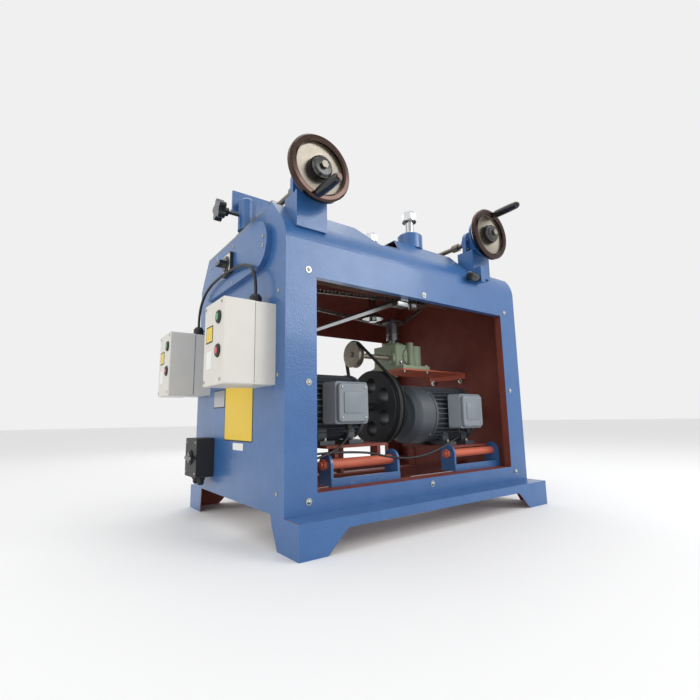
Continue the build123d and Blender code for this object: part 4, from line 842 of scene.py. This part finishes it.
class BayTrim:
    """Bolts and a bar end block in the open motor bay."""

    def build(self) -> None:
        """Makes the small pieces of the bay."""
        bolts = Form("bay bolts")
        for x0, x1 in ((-334, -86), (164, 412)):
            for x in (x0 + 70, x1 - 70):
                Fastener.hex_head(bolts, DATUM.at(x, 58, 133), Facing.UP, 13, 7)
        for face, level in ((-150, 345), (380, 320)):
            for x in (face - 153, face - 51):
                for y in (130, 280):
                    Fastener.hex_head(bolts, DATUM.at(x, y, level - 100), Facing.UP, 10, 6)
        for y in (275, 430):
            Fastener.hex_head(bolts, DATUM.at(492, y, 462), Facing.LEFT, 13, 7)
        for y in (40, 650):
            Fastener.hex_head(bolts, DATUM.at(-66, y, 675), Facing.DOWN, 13, 7)
        Fastener.hex_head(bolts, DATUM.at(-395, 233.5, 741), Facing.UP, 13, 7)
        bolts.done(ZINC, slot="cover_screws")
        block = Form("bar end block").slab((46, 30, 14), DATUM.at(-66, 44, 672), Facing.DOWN, 3, 1.5)
        block.done(STEEL, slot="chain_bars")


class GuardTrim:
    """Screws of the belt guard and of the right end."""

    def build(self) -> None:
        """Makes the screws of the guard and of the right end."""
        screws = Form("guard screws")
        for y, z in ((233.5, 880), (205, 252), (166, 700), (300, 700), (140, 450), (278, 450)):
            Fastener.pan_head(screws, DATUM.at(574, y, z), Facing.RIGHT, 5.5, 3)
        for y in (40, 650):
            for z in (640, 420, 130):
                Fastener.pan_head(screws, DATUM.at(500, y, z), Facing.RIGHT, 5.5, 3)
        screws.done(ZINC, slot="cover_screws")


# ------------------------------------------------------------------ stage, light and camera
@dataclass
class Studio:
    """Pale floor, soft lamps and the camera."""

    eye: Point = (-988.0, -933.4, 306.1)
    yaw_deg: float = 36.35
    pitch_deg: float = 9.19
    roll_deg: float = -0.96
    lens: float = 21.97

    def build(self) -> None:
        """Makes the stage, the lamps and the camera."""
        self._floor()
        self._world()
        self._lamp("key", (1500, -2500, 1900), (0, 200, 500), 1.6, 42)
        self._lamp("left fill", (-3000, 0, 1500), (-200, 300, 500), 2.2, 14)
        self._lamp("top", (0, 500, 3200), (0, 300, 500), 2.6, 18)
        self._lamp("back rim", (1200, 3000, 2000), (0, 400, 600), 2.0, 14)
        self._camera()
        bpy.context.scene.view_settings.view_transform = "Standard"

    @staticmethod
    def _floor() -> None:
        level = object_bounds()[0].z
        data = bpy.data.meshes.new("floor")
        far = 30.0
        corners = [(-far, -far, level), (far, -far, level), (far, far, level), (-far, far, level)]
        data.from_pydata(corners, [], [(0, 1, 2, 3)])
        floor = bpy.data.objects.new("floor", data)
        bpy.context.scene.collection.objects.link(floor)
        data.materials.append(FINISHES.plain(Finish("pale studio floor", "ececec", 0.7)))
        floor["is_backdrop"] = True

    @staticmethod
    def _world() -> None:
        world = bpy.data.worlds.new("studio")
        bpy.context.scene.world = world
        world.use_nodes = True
        sky = world.node_tree.nodes["Background"]
        sky.inputs["Color"].default_value = linear("f0f0f0")
        sky.inputs["Strength"].default_value = 1.0

    @staticmethod
    def _lamp(name: str, place: Point, target: Point, size: float, power: float) -> None:
        data = bpy.data.lights.new(name, "AREA")
        data.shape = "SQUARE"
        data.size = size
        data.energy = power
        lamp = bpy.data.objects.new(name, data)
        lamp.location = DATUM.at(*place)
        lamp.rotation_euler = (DATUM.at(*target) - lamp.location).to_track_quat("-Z", "Y").to_euler()
        bpy.context.scene.collection.objects.link(lamp)

    def _camera(self) -> None:
        yaw, pitch, roll = radians(self.yaw_deg), radians(self.pitch_deg), radians(self.roll_deg)
        ahead = Vector((sin(yaw) * cos(pitch), cos(yaw) * cos(pitch), sin(pitch)))
        right = Vector((cos(yaw), -sin(yaw), 0))
        up = right.cross(ahead)
        cam_x = right * cos(roll) + up * sin(roll)
        cam_y = up * cos(roll) - right * sin(roll)
        data = bpy.data.cameras.new("camera")
        data.sensor_width = 36.0
        data.lens = self.lens
        data.clip_end = 100.0
        camera = bpy.data.objects.new("camera", data)
        matrix = Matrix((cam_x, cam_y, -ahead)).transposed().to_4x4()
        matrix.translation = DATUM.at(*self.eye)
        camera.matrix_world = matrix
        bpy.context.scene.collection.objects.link(camera)
        bpy.context.scene.camera = camera


def build() -> None:
    """Dresses the whole machine and sets the scene."""
    Paintwork().apply()
    pieces: list[Callable[[], None]] = [
        FeedChain().build,
        MotorTrim("feed", -150.0, 345.0).build,
        MotorTrim("drum", 380.0, 320.0).build,
        StarterBox("near", 120.0).build,
        StarterBox("far", 620.0).build,
        EndPanelTrim().build,
        SwitchTrim().build,
        GearboxTrim().build,
        HeadTrim().build,
        WheelTrim().build,
        BayTrim().build,
        GuardTrim().build,
        Studio().build,
    ]
    for make in pieces:
        make()
        LOG.info("made %s", make.__qualname__)


if __name__ == "__main__":
    logging.basicConfig(level=logging.INFO)
    build()
